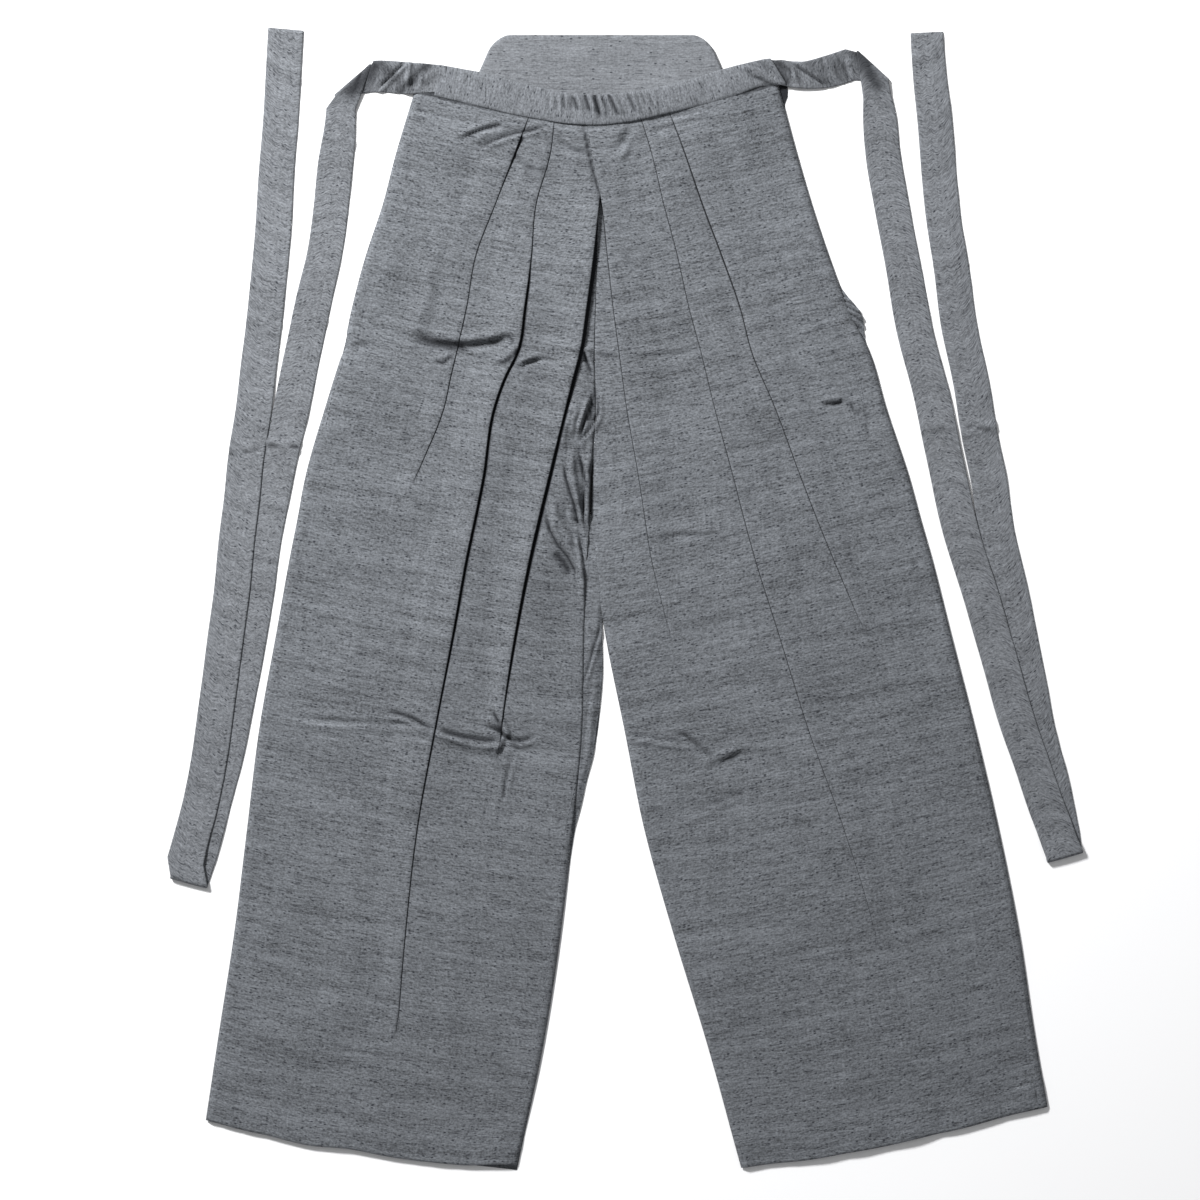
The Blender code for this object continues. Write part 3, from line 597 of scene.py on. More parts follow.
def legPanel(name, leg):
    inwards = leg["inwards"]
    layer = panelCloth["layer"]
    levels = np.array(leg["levels"], float)
    lines = [smoothCurve(zip(levels[:, 0], levels[:, i])) for i in range(1, 6)]
    hemLine = smoothCurve(leg["hem"])

    # rows run from the tucked top edge to the hem, round it and back up inside
    topRow, hemRow = panelCloth["topRow"], panelCloth["hemRow"]
    heights = np.linspace(topRow, hemRow, 2000)
    spacing = np.interp(-heights, *np.array([(-at, gap) for at, gap in panelCloth["spacing"]]).T)
    gone = np.cumsum(1 / spacing)
    even = np.linspace(gone[0], gone[-1], panelCloth["rows"])
    down = np.interp(even, gone, (topRow - heights) / (topRow - hemRow))
    # how far up and how far below the front each row of the turned-up hem lies
    turnUp = np.array([0.2, 0.2, 6, 13, panelCloth["hemTurn"]])
    turnDrop = np.array([0.3, 0.65, 0.75, 0.75, 0.75])
    down = np.concatenate([down, np.ones(len(turnUp))])
    moveUp = np.concatenate([np.zeros(panelCloth["rows"]), turnUp])
    moveUp[panelCloth["rows"]] = -0.2
    drop = np.concatenate([np.zeros(panelCloth["rows"]), turnDrop])

    def heightAt(x, part):
        top = waistLine(x) + panelCloth["tuck"]
        return top + (hemLine(x) - top) * part

    def onRow(line):
        x = line(np.zeros(len(down)))
        for _ in range(12):
            x = line(heightAt(x, down))
        return x

    side, *edges, inner = [onRow(line) * inwards for line in lines]
    levelsHere = [heightAt(edge * inwards, down) for edge in edges]

    def base(s, y, dips):
        # dips: 1 rolls the cloth down at the side seam, 2 at the inner edge
        x = s * inwards
        fromEdge = np.full(s.shape, 99.0)
        if dips == 1:
            fromEdge = s - side[:, None]
        if dips == 2:
            fromEdge = inner[:, None] - s
        edge = panelCloth["edgeHeight"] + 0.45 * ease(down[:, None], 0.965, 0.985)
        if dips == 2:
            # sewn to the other leg down to the crotch, then to the gusset on the left leg
            joined = ease(y, -30, 0) if inwards < 0 else ease(y, -240, -190)
            edge = edge + (panelCloth["inside"] - 0.4 - edge) * joined
        flat = edge + (panelCloth["inside"] - edge) * ease(fromEdge, -0.5, panelCloth["softRoll"]) ** 0.7
        over = boardUnder(x, y) * ease(fromEdge, 2, 20)
        return flat + (panelCloth["overBoard"] - flat) * over

    pleats = []
    for pleat, edge, y in zip(leg["pleats"], edges, levelsHere):
        fade = ease(y, pleat["ends"] - 20, pleat["ends"] + 60)
        pleats.append({
            "edge": edge,
            "depth": pleatDepth(pleat, y),
            "open": ease(y, pleat["ends"] + 26, pleat["ends"] - 2),
            "stack": 2 * layer * fade,
            "lift": np.clip(smoothCurve(pleat["lift"])(y), 0, None) * fade,
            "gap": np.clip(straightLine(pleat["gap"])(y), 0.3, None),
            "shoulder": pleat["shoulder"] * fade,
            "nose": np.full(len(y), pleat["nose"]),
            "paintedShade": pleat["paintedShade"] * ease(y, pleat["ends"] - 14, pleat["ends"] + 40),
        })

    def rising(s, pleat):
        # the layer that ends in this pleat's edge
        edge, depth = pleat["edge"][:, None], pleat["depth"][:, None]
        stack, lift = pleat["stack"][:, None], pleat["lift"][:, None]
        onStack = ease(s, edge - depth - 12, edge - depth)
        return stack * onStack + lift * ease(s, edge - depth - 6, edge) ** 1.3

    def following(s, pleat):
        # the cloth that comes out from under this pleat's edge, down again at the inner seam
        past = s - pleat["edge"][:, None]
        gap = pleat["gap"][:, None]
        rise = pleat["shoulder"][:, None] * (pleat["stack"] + pleat["lift"])[:, None]
        rise = rise * ease(inner[:, None] - pleat["edge"][:, None], 8, 34)
        return rise * ease(past, 0.15, gap) * ease(past, 46, gap) * ease(inner[:, None] - s, 0, 11)

    def crossing(s, y, strength=1.0):
        # the right leg's centre pleat lies over the left one's
        raised = leg["crossing"] * ease(y, 338, 362)
        return raised * ease(s, -6, 8) * strength

    blocks = []

    def addBlock(s, z, dips, paintedShade):
        y = heightAt(s * inwards, down[:, None])
        blocks.append((s, y, z + base(s, y, dips), paintedShade + np.zeros(s.shape)))

    def topRun(start, stop, before, after, dips, counts):
        # a stretch of cloth from one fold to the next, with close columns beside the folds:
        # counts says how many columns each part of it has
        parts = []
        if before is None:
            parts.append(between(start, start + 8, 4))
            parts.append(between(start + 8, stop - 56, counts[0]))
            parts.append(between(stop - 56, stop - 8, counts[2]))
        else:
            clear = np.maximum(before["edge"] + 0.2, start + 1.0)
            clear = np.minimum(clear, stop - 3.5)
            shoulder = np.minimum(clear + np.maximum(before["gap"] + 0.9, 1.4), stop - 2.2)
            parts.append(between(start, clear, counts[0]))
            parts.append(between(clear, shoulder, counts[1]))
            far = np.maximum(stop - 8, shoulder + 0.4 * (stop - shoulder))
            parts.append(between(shoulder, far, counts[2]))
            parts.append(between(far, stop, counts[3], after is None))
        if before is None:
            parts.append(between(stop - 8, stop, counts[3]))
        s = np.concatenate(parts, axis=1)
        z = np.zeros(s.shape)
        if before is not None:
            z = z + following(s, before)
        if after is not None:
            z = z + rising(s, after)
        y = heightAt(s * inwards, down[:, None])
        if after is pleats[2]:
            z = z + crossing(s, y)
        # painted shade in the gap under the last pleat's edge
        paintedShade = 0
        if before is not None:
            past = s - before["edge"][:, None]
            paintedShade = ease(past, before["gap"][:, None] + 0.35, before["gap"][:, None] - 0.25)
            paintedShade = paintedShade * (before["paintedShade"] * (1 - before["open"]))[:, None]
        addBlock(s, z, dips, paintedShade)

    def fold(pleat):
        edge, depth, nose = pleat["edge"], pleat["depth"], pleat["nose"]
        top = pleat["stack"] + pleat["lift"]
        isCentre = pleat is pleats[2]
        foldS, foldZ, raised = [], [], []
        for angle in (90, 45, 0, -45, -90):
            foldS.append(edge - nose + nose * math.cos(math.radians(angle)))
            foldZ.append(top - nose + nose * math.sin(math.radians(angle)))
            raised.append(1.0)
        for part in (0.75, 0.5, 0.25):
            foldS.append(edge - depth + (depth - nose) * part)
            shape = ease(part * depth + 6, 0, depth + 6) ** 1.3
            foldZ.append(layer + (top - 2 * nose - layer) * shape)
            raised.append(1.0)
        for dx, dz, up in ((0, 1, 1.0), (-0.5, 0.5, 0.5), (0, 0, 0.0)):
            foldS.append(edge - depth + dx * layer)
            foldZ.append(np.full(len(edge), dz * layer))
            raised.append(up)
        foldS, foldZ = np.array(foldS).T, np.array(foldZ).T
        t = np.arange(11) / 10
        openS = edge[:, None] + (t - 0.5) * panelCloth["opened"]
        openZ = top[:, None] * (1 - t)
        mix = pleat["open"][:, None]
        s = foldS * (1 - mix) + openS * mix
        z = foldZ * (1 - mix) + openZ * mix
        if isCentre:
            y = heightAt(s * inwards, down[:, None])
            z = z + crossing(s, y, np.array(raised))
        # painted shade inside the fold and along the line where the pleat opens out
        inFold = np.array([0, 0, 0.35, 0.8, 1, 1, 1, 1, 1, 1, 1])
        inOpen = np.exp(-(((t - 0.5) / 0.09) ** 2))
        addBlock(s, z, 0, pleat["paintedShade"][:, None] * (inFold * (1 - mix) + 0.8 * inOpen * mix))

    half = panelCloth["opened"] / 2
    firstIn = [p["edge"] - p["nose"] - (half - p["nose"]) * p["open"] - 0.9 for p in pleats]
    lastOut = [
        (p["edge"] - p["depth"]) * (1 - p["open"]) + (p["edge"] + half) * p["open"] + 0.9
        for p in pleats
    ]
    topRun(side, firstIn[0], None, pleats[0], 1, (9, 0, 21, 4))
    fold(pleats[0])
    topRun(lastOut[0], firstIn[1], pleats[0], pleats[1], 0, (2, 4, 20, 4))
    fold(pleats[1])
    topRun(lastOut[1], firstIn[2], pleats[1], pleats[2], 0, (2, 4, 14, 4))
    fold(pleats[2])
    topRun(lastOut[2], inner, pleats[2], None, 2, (3, 5, leg["innerColumns"], 5))

    s, y, z, paintedShade = [np.concatenate([b[i] for b in blocks], axis=1) for i in range(4)]
    x = s * inwards
    # the pleats are pressed where the band holds them
    held = ease(y - waistLine(x), -12, 0)
    flat = panelCloth["inside"] + (panelCloth["overBoard"] - panelCloth["inside"]) * boardUnder(x, y)
    z = z - np.maximum(z - flat, 0) * panelCloth["pressed"] * held
    # painted shade: a thin dark line along the top of the panel, where the band's lower edge shades it
    paintedShade = np.maximum(paintedShade, 0.7 * ease(y - waistLine(x), -0.6, 0.5))
    fromSide = s - side[:, None]
    fromInner = inner[:, None] - s
    calm = ease(fromSide, 0, 12) * np.maximum(ease(np.abs(fromInner), 0, 6), ease(y, -60, -10))
    bent, creasePaintedShade = creaseHeights(legCreases, x, y)
    # a crease never presses one layer through the next
    deepest = panelCloth["deepest"]
    bent = np.where(bent < 0, -deepest * np.tanh(-bent / deepest), bent)
    z = z + (bent + unevenness(x, y)) * calm
    paintedShade = np.maximum(paintedShade, creasePaintedShade)
    # but never down through the back panel or the board
    lowest = panelCloth["edgeHeight"] + 0.3 * ease(fromSide, 2, 12) * ease(fromInner, 2, 8)
    lowest = lowest + 3.2 * boardUnder(x, y) * ease(fromSide, 4, 20)
    z = np.maximum(z, lowest)
    z = z - drop[:, None] + 0.35 * ease(down[:, None], 0.97, 0.98)
    y = y + moveUp[:, None]

    # the turned-up hem is a little narrower than the leg
    centre = (side + inner)[:, None] * 0.5 * inwards
    narrower = (1 - 0.0021 * np.maximum(moveUp, 4))[:, None]
    x = np.where(moveUp[:, None] > 0, centre + (x - centre) * narrower, x)
    # a small dent in the side seam, and a hem that isn't quite straight
    x = x + np.where(fromSide < 20, leg["dent"] * np.exp(-((y - 228) / 7) ** 2), 0)
    atHem = ease(down[:, None], 0.9, 1)
    y = y + ripples(x, 0 * x, 23 + inwards, 90, 0.9) * atHem
    y = y + leg["hemRise"] * ease(x, -152, -108) * atHem
    z = z + np.abs(ripples(x, 0 * x, 31 + inwards, 60, 0.6)) * ease(down[:, None], 0.95, 1) * calm
    points = np.stack([x, y, z], axis=2)
    u = arcLengths(points, 1)
    v = np.broadcast_to(down[:, None] * 0.96 + 0.001 * np.maximum(moveUp, 0)[:, None], u.shape)
    uv = np.stack([u + leg["clothStart"], v], axis=2)
    piece = sheetOf(name, points, uv, panelCloth["thickness"], slubFinish, paintedShade)
    tops = points[: panelCloth["rows"]].reshape(-1, 3)
    print(name, points.shape[0] * points.shape[1], "points, up to", round(float(z.max()), 1), "mm")
    return piece, tops


leftFront, leftTops = legPanel("front_panel_left_cloth", leftLeg)
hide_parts("front_panel_left")
rightFront, rightTops = legPanel("front_panel_right_cloth", rightLeg)
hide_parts("front_panel_right")


backCloth = {"thickness": 0.5, "height": 0.3, "rows": 200, "columns": 40, "top": 415.7}


def backPanel(name, leg, rise, bulge):
    # the back of a leg, flat on the table, its outer corner cut up to the band beside the board
    inwards = leg["inwards"]
    levels = np.array(leg["levels"], float)
    sideLine = smoothCurve(zip(levels[:, 0], levels[:, 1]))
    innerLine = smoothCurve([(row[0], leg["backInner"].get(row[0], row[5])) for row in leg["levels"]])
    hemLine = smoothCurve(leg["hem"])
    down = np.interp(np.linspace(0, 1, backCloth["rows"]), (0, 0.1, 0.6, 1), (0, 0.13, 0.24, 1))
    cutEdge = sideLine(416) + inwards * 34

    def heightAt(x, part):
        top = backCloth["top"] + rise * ease(x * inwards, cutEdge * inwards, cutEdge * inwards - 20)
        return top + (hemLine(x) - top) * part

    ends = []
    for line in (sideLine, innerLine):
        x = line(np.zeros(len(down)))
        for _ in range(20):
            x = 0.5 * x + 0.5 * line(heightAt(x, down))
        ends.append(x)
    side, inner = ends
    sideY = heightAt(side, down)
    side = side + bulge * np.exp(-(((sideY - 256) / 17) ** 2)) + inwards * 0.4
    if bulge:
        side = side + 8 * ease(sideY, 440, 458)
    across = np.linspace(0, 1, backCloth["columns"]) ** 1.9
    x = side[:, None] + (inner - side)[:, None] * across
    y = heightAt(np.clip(x, min(ends[0].min(), inner.min()), 1e9), down[:, None])
    z = np.full(x.shape, backCloth["height"])
    paintedShade = np.zeros(x.shape)
    if bulge:
        near = np.exp(-(((y - 256) / 18) ** 2)) * ease(np.abs(x - side[:, None]), 30, 4)
        fan = np.sin((y - 256) * 0.42 - np.abs(x - side[:, None]) * 0.35)
        z = z + near * (1.2 + 2.2 * fan ** 2)
        # painted shade in the troughs of the fan of folds at the side bulge
        paintedShade = near * np.clip(1 - fan ** 2 * 2.4, 0, 1)
        # painted shade: the cloth beside the end of the board is painted dark, where shade falls behind
        # the band's end and the tie
        paintedShade = np.maximum(paintedShade, ease(y, 436, 444) * 0.95)
    points = np.stack([x, y, z], axis=2)
    uv = np.stack([arcLengths(points, 1) + 6.1, np.broadcast_to(down[:, None] * 0.93, x.shape)], axis=2)
    piece = sheetOf(name, points, uv, backCloth["thickness"], slubFinish, paintedShade)
    return piece


leftLeg["backInner"] = {
    450: -21.2, 400: -21.2, 354: -21.2, 309: -21.2, 264: -21.2, 219: -21.2, 200: -21.2, 174: -21.2,
    107: -20.7, 39: -20.8, -28: -20.8, -118: -24, -208: -44.5,
}
rightLeg["backInner"] = {
    450: -20.8, 400: -20.8, 354: -20.8, 309: -20.8, 264: -20.8, 219: -20.8, 174: -20.8,
    107: -20.3, 39: -19.2, -28: -17,
}
leftBack = backPanel("back_panel_left_cloth", leftLeg, 32, 0)
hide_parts("back_panel_left")
rightBack = backPanel("back_panel_right_cloth", rightLeg, 49, 9)
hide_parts("back_panel_right")
print("legs made")


# the gusset's strip between the legs
gussetCloth = {
    "thickness": 0.5,
    "top": 75,
    "foot": -231,
    "rows": 120,
    "lowest": 0.95,
    "edge": [
        (76, -20), (60, -14), (10, -16), (-17, -19.5), (-73, -20), (-96, -22), (-118, -25),
        (-141, -28), (-163, -34), (-186, -39), (-208, -45), (-231, -51),
    ],
    "tucked": [(76, -38), (60, -40), (0, -46), (-118, -48), (-186, -53), (-231, -57)],
}
gussetCreases = [
    ([(-20, -20), (-28, -46), (-37, -76)], 1.2, -1.8, 3, 0.95),
    ([(-34, -20), (-30, -50), (-36, -90)], 2.4, 0.8, 0, 0),
    ([(-30, -76), (-34, -110), (-38, -150)], 2.0, -0.6, 4, 0.1),
]


def gussetStrip(name):
    y = np.linspace(gussetCloth["top"], gussetCloth["foot"], gussetCloth["rows"])
    right = smoothCurve(gussetCloth["edge"])(y)
    left = smoothCurve(gussetCloth["tucked"])(y)
    x = between(left, right, 26, True)
    y = np.broadcast_to(y[:, None], x.shape)
    fromEdge = right[:, None] - x
    lowest = gussetCloth["lowest"]
    z = lowest + 2.1 * ease(fromEdge, -0.5, 6)
    z = z * ease(y, -240, -160) + lowest * ease(y, -160, -240)
    # painted shade in the gusset's creases
    bent, paintedShade = creaseHeights(gussetCreases, x, y)
    z = np.maximum(z + bent, lowest)
    points = np.stack([x, y, z], axis=2)
    uv = np.stack([arcLengths(points, 1) + 9.2, -y * 0.001], axis=2)
    piece = sheetOf(name, points, uv, gussetCloth["thickness"], slubFinish, paintedShade)
    return piece


gusset = gussetStrip("gusset_cloth")
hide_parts("gusset")
print("gusset made")


# waistband, folded over the top of the pleats
waistband = {
    "thickness": 0.7,
    "stations": [
        (-168, 467, 27, 5.0), (-150, 463, 28, 5.8), (-127, 458, 29, 7.2), (-96, 450, 28, 7.6),
        (-73, 445, 27, 8.0), (-50, 441, 26, 8.6), (-20, 440, 26, 9.0), (8, 443, 25, 8.6),
        (36, 449, 24, 7.9), (61, 455, 24, 7.4), (92, 464, 25, 7.1), (122, 473, 22, 6.0),
        (138, 475, 22, 5.2),
    ],
    "lip": 3.0,
    "overlap": 1.2,
    "slant": 0.5,
}
bandCreases = [
    ([(-55, 455), (-54.6, 446), (-53, 438)], 1.6, -2.4, 3, 0.7),
    ([(-46.5, 452), (-44, 446), (-41, 437)], 1.6, -2.8, 3, 0.85),
    ([(-36.5, 458), (-34, 448), (-30, 435)], 1.7, -3.6, 3.4, 1.0),
    ([(-27.5, 459), (-25.5, 448), (-20.5, 430)], 1.8, -3.8, 3.6, 1.0),
    ([(-15, 455), (-10, 445), (-4.5, 432)], 1.6, -3.4, 3.2, 1.0),
    ([(3, 455), (7, 445), (11, 435)], 1.6, -2.6, 3, 0.75),
    ([(-21, 453), (-18, 446), (-14.5, 438)], 1.4, -1.8, 2.6, 0.6),
    ([(-62, 452), (-61, 445), (-60, 438)], 1.4, -1.2, 2.8, 0.35),
    ([(15, 456), (18, 448), (20, 441)], 1.4, -1.4, 2.8, 0.4),
    ([(22, 456), (25, 447), (27, 440)], 1.5, -1.2, 2.8, 0.3),
    ([(-66, 452), (-68, 445), (-68, 436)], 1.5, -1.2, 2.8, 0.15),
    ([(-92, 460), (-94, 450), (-97, 440)], 3, -0.8, 0, 0),
    ([(70, 466), (72, 457), (76, 448)], 3, -0.8, 0, 0),
    ([(100, 478), (116, 474), (134, 462)], 1.8, 2.0, 4, 0.15),
    ([(112, 470), (124, 466), (138, 458)], 1.6, -2.0, 3.2, 0.4),
    ([(118, 486), (132, 474), (140, 464)], 2.2, -2.0, 4, 0.4),
    ([(-152, 474), (-144, 464), (-140, 452)], 3, -0.8, 0, 0),
]


def stationRows(stations, step=3.0):
    # middle line, across vector and width at close, even steps
    table = np.array([(*row, 0)[:5] for row in stations], float)
    gone = np.concatenate([[0], np.cumsum(np.linalg.norm(np.diff(table[:, :2], axis=0), axis=1))])
    at = np.linspace(0, gone[-1], max(3, int(gone[-1] / step)))
    x, y, width, z, tilt = [smoothCurve(zip(gone, table[:, i]))(at) for i in range(5)]
    dx, dy = np.gradient(x), np.gradient(y)
    long = np.hypot(dx, dy)
    return x, y, width, z, tilt, -dy / long, dx / long


def makeBand(name):
    x, y, width, z, tilt, ax, ay = stationRows(waistband["stations"], 1.5)
    # the section runs from inside the upper edge, over the front and under the lower edge
    lip = waistband["lip"]
    section = [
        (1, -lip * 1.6, -2.3), (1, -lip * 0.6, -2.25), (1, -0.5, -2.0), (1, -0.1, -1.45),
        (1, -0.2, -0.8), (1, -0.9, -0.3), (1, -2.4, -0.08),
    ]
    front = [(side, 0, 0.0) for side in np.linspace(0.72, -0.72, 13)]
    lower = [
        (-1, 2.4, -0.1), (-1, 0.9, -0.35), (-1, 0.15, -0.85), (-1, 0.1, -1.3), (-1, 0.9, -1.6),
        (-1, lip, -1.7),
    ]
    section = section + front + lower
    spread = np.array([s[0] for s in section])
    inset = np.array([s[1] for s in section])
    sink = np.array([s[2] for s in section])
    half = width[:, None] / 2
    across = half * spread + inset - waistband["overlap"] * (spread < 0)
    # its right end is cut slanting, where the tie turns over
    slant = across * waistband["slant"] * ease(x, 116, 136)[:, None]
    px = x[:, None] + ax[:, None] * across - slant
    py = y[:, None] + ay[:, None] * across
    crown = 0.7 * (1 - (across / half) ** 2) - 0.25
    pz = z[:, None] + sink + crown
    facing = (sink > -0.5)
    # painted shade in the band's gathers and creases
    bent, paintedShade = creaseHeights(bandCreases, px, py)
    bent = bent + ripples(px, py, 41, 34, 0.16) + ripples(px, py, 43, 90, 0.2)
    pz = pz + bent * np.where(facing, 1, 0.5)
    points = np.stack([px, py, pz], axis=2)
    uv = np.stack([arcLengths(points, 1), arcLengths(points, 0)[:, 12:13] + 0 * px + 2.2], axis=2)
    piece = sheetOf(name, points, uv, waistband["thickness"], bandFinish, paintedShade)
    return piece, points[:, 6:21].reshape(-1, 3)


band, bandTops = makeBand("front_waistband_cloth")
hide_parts("front_waistband")
print("waistband made")


# the two front ties
tieCloth = {"thickness": 0.5, "halfHeight": 0.52, "step": 3.2}

leftTie = {
    "runs": [
        # across the waist the strip leans away from the light
        [
            (-162, 467, 24, 5.0, 0), (-178, 468, 25.5, 5.2, 2), (-193, 468, 27, 5.0, 5),
            (-212, 469.5, 27, 4.4, 7), (-227, 470, 27, 3.4, 5),
        ],
        [
            (-256.5, 441, 26, 2.2), (-257, 430, 27, 1.4), (-258, 416, 29, 1.0), (-260, 399, 31, 1.0),
            (-264, 354, 31, 1.0), (-271, 309, 31, 1.0), (-281, 264, 32, 1.0), (-290, 219, 32, 1.0),
            (-300, 174, 32, 1.0), (-310.5, 129, 32, 1.0), (-319, 84, 32, 1.0), (-327, 39, 32, 1.0),
            (-334, -6, 32, 1.0), (-342, -51, 32, 1.0), (-351, -96, 32, 1.0), (-361, -141, 32, 1.0),
            (-372, -186, 32, 1.0), (-383, -231, 32, 1.0),
        ],
        [
            (-395, -236, 33, 4.6), (-392, -222, 32, 3.6), (-383, -186, 32, 2.6),
            (-375, -141, 32, 2.6), (-368, -96, 32, 2.6), (-362, -51, 32, 2.6), (-355.5, -6, 32, 2.6),
            (-350, 39, 32, 2.6), (-345, 84, 32, 2.6), (-341, 129, 32, 2.5), (-334, 174, 32, 2.2),
            (-328, 219, 32, 1.2), (-323, 264, 32, 1.0), (-319, 309, 32, 1.0), (-315, 354, 32, 1.0),
            (-313, 399, 31.5, 1.0), (-310.5, 434, 31.5, 1.0), (-309, 467, 31.5, 1.0),
            (-305, 513, 31.5, 1.0),
        ],
    ],
    # each turn: x, y, length, bearing, height in, height out
    "turns": [(-246, 467, 43, 41, 1.4, 4.0), (-392, -256, 34, -15, 1.2, 5.4)],
    "creases": [
        ([(-226, 457), (-211, 470), (-196, 484)], 1.1, -2.6, -3, 1.0),
        # painted shade: cloth turned from the light, painted darker
        ([(-256, 448), (-242, 462), (-230, 474), (-218, 488)], 11, 0.01, 0, 0.85),
        ([(-246, 452), (-242, 465), (-236, 478)], 4.5, 0.01, 0, 0.95),
        ([(-226, 482), (-214, 474), (-206, 466), (-200, 456)], 7, 0.01, 0, 0.55),
        ([(-200, 452), (-192, 464), (-182, 474), (-168, 484)], 7, 0.01, 0, 0.6),
        ([(-197, 451), (-195.5, 470), (-193, 486)], 2.0, 2.0, 0, 0),
        ([(-199, 458), (-188, 470), (-170, 482)], 3.4, -2.4, -6, 0.5),
        ([(-206, 452), (-196, 460), (-184, 466)], 3.4, -2.0, 5, 0.5),
        ([(-243, 462), (-240, 470), (-234, 480)], 3.4, -0.8, 0, 0.85),
        ([(-216, 484), (-206, 476), (-200, 466)], 2.4, 1.2, 0, 0),
        ([(-232, 474), (-222, 478), (-208, 486)], 3.0, -0.8, 3, 0.3),
        ([(-328, 139), (-304, 137), (-282, 136)], 1.2, -1.6, 3, 0.75),
        ([(-360, 131), (-342, 132), (-326, 136)], 1.2, -1.2, 3, 0.6),
        ([(-362, 92), (-344, 88), (-326, 90)], 2.4, 0.9, 0, 0),
        ([(-278, 415), (-262, 410), (-246, 412)], 1.8, -1.2, 4, 0.25),
        ([(-340, 250), (-322, 246), (-308, 250)], 2.4, -0.8, 5, 0),
        ([(-296, 255), (-280, 250), (-266, 252)], 2.4, -0.8, 5, 0),
        ([(-330, 470), (-310, 466), (-292, 470)], 2.6, -0.7, 5, 0),
    ],
}
rightTie = {
    "runs": [
        [
            (130, 475, 20, 4.6, 0), (145, 472.5, 22, 4.8, -2), (160, 471, 23, 4.8, -5),
            (182, 474, 27, 4.4, -7), (203, 480.5, 28, 3.2, -5),
        ],
        [
            (227, 452, 25, 2.2), (229, 437, 29, 1.2), (233, 399, 31, 1.0), (241, 354, 31, 1.0),
            (249, 309, 31, 1.0), (258, 264, 32, 1.0), (267, 219, 32, 1.2), (278, 174, 32, 2.2),
            (288, 129, 32, 2.5), (298, 84, 32, 2.6), (310, 39, 32, 2.6), (323, -6, 32, 2.6),
            (336, -51, 32, 2.6), (349, -96, 32, 2.6), (364, -141, 32, 2.6), (379, -186, 32, 2.6),
            (387, -206, 32, 3.6), (391.5, -219, 32, 4.6),
        ],
        [
            (394, -212, 32, 1.0), (383, -163, 32, 1.0), (372, -118, 32, 1.0), (363, -73, 32, 1.0),
            (354, -28, 32, 1.0), (345, 17, 32, 1.0), (336, 62, 32, 1.0), (328.5, 107, 32, 1.0),
            (319, 152, 32, 1.0), (311, 197, 32, 1.0), (303, 242, 32, 1.0), (296, 287, 31.5, 1.0),
            (289, 332, 31, 1.0), (284, 377, 31, 1.0), (280, 423, 31, 1.0), (275, 467, 30, 1.0),
            (273, 510, 29, 1.0),
        ],
    ],
    "turns": [(224, 480, 38, -43, 1.4, 4.0), (397, -233, 33, 16, 5.4, 1.0)],
    "creases": [
        ([(149, 482), (166, 471), (184, 460)], 1.3, -2.2, 3, 0.9),
        # painted shade: cloth turned from the light, painted darker
        ([(134, 488), (142, 474), (148, 458)], 7, 0.01, 0, 0.7),
        ([(188, 488), (194, 476), (198, 464)], 7, 0.01, 0, 0.4),
        ([(202, 502), (213, 486), (222, 470), (234, 452)], 9, 0.01, 0, 0.8),
        ([(208, 496), (218, 484), (224, 466)], 4.5, 0.01, 0, 0.85),
        ([(160, 484), (172, 474), (186, 462)], 7, 0.01, 0, 0.35),
        ([(131, 487), (142, 474), (150, 459)], 3.0, -2.6, 5, 0.7),
        ([(139, 486), (150, 476), (158, 462)], 1.8, 2.2, -4, 0),
        ([(190, 482), (194, 472), (198, 463)], 1.6, -1.8, 3, 0.4),
        ([(197, 484), (201, 474), (203, 466)], 1.6, -1.6, 3, 0.4),
        ([(176, 488), (180, 478), (186, 470)], 1.8, -1.4, 3, 0.25),
        ([(212, 494), (213, 480), (213, 468)], 3.0, -0.8, 0, 0.7),
        ([(302, 156), (318, 154), (336, 149)], 1.7, -1.8, 3, 0.6),
        ([(268, 150), (284, 152), (298, 150)], 2.0, -1.0, 3, 0.3),
        ([(262, 300), (280, 298), (312, 302)], 2.4, -0.7, 5, 0),
        ([(330, -40), (350, -44), (366, -40)], 2.6, 0.9, 0, 0),
    ],
}


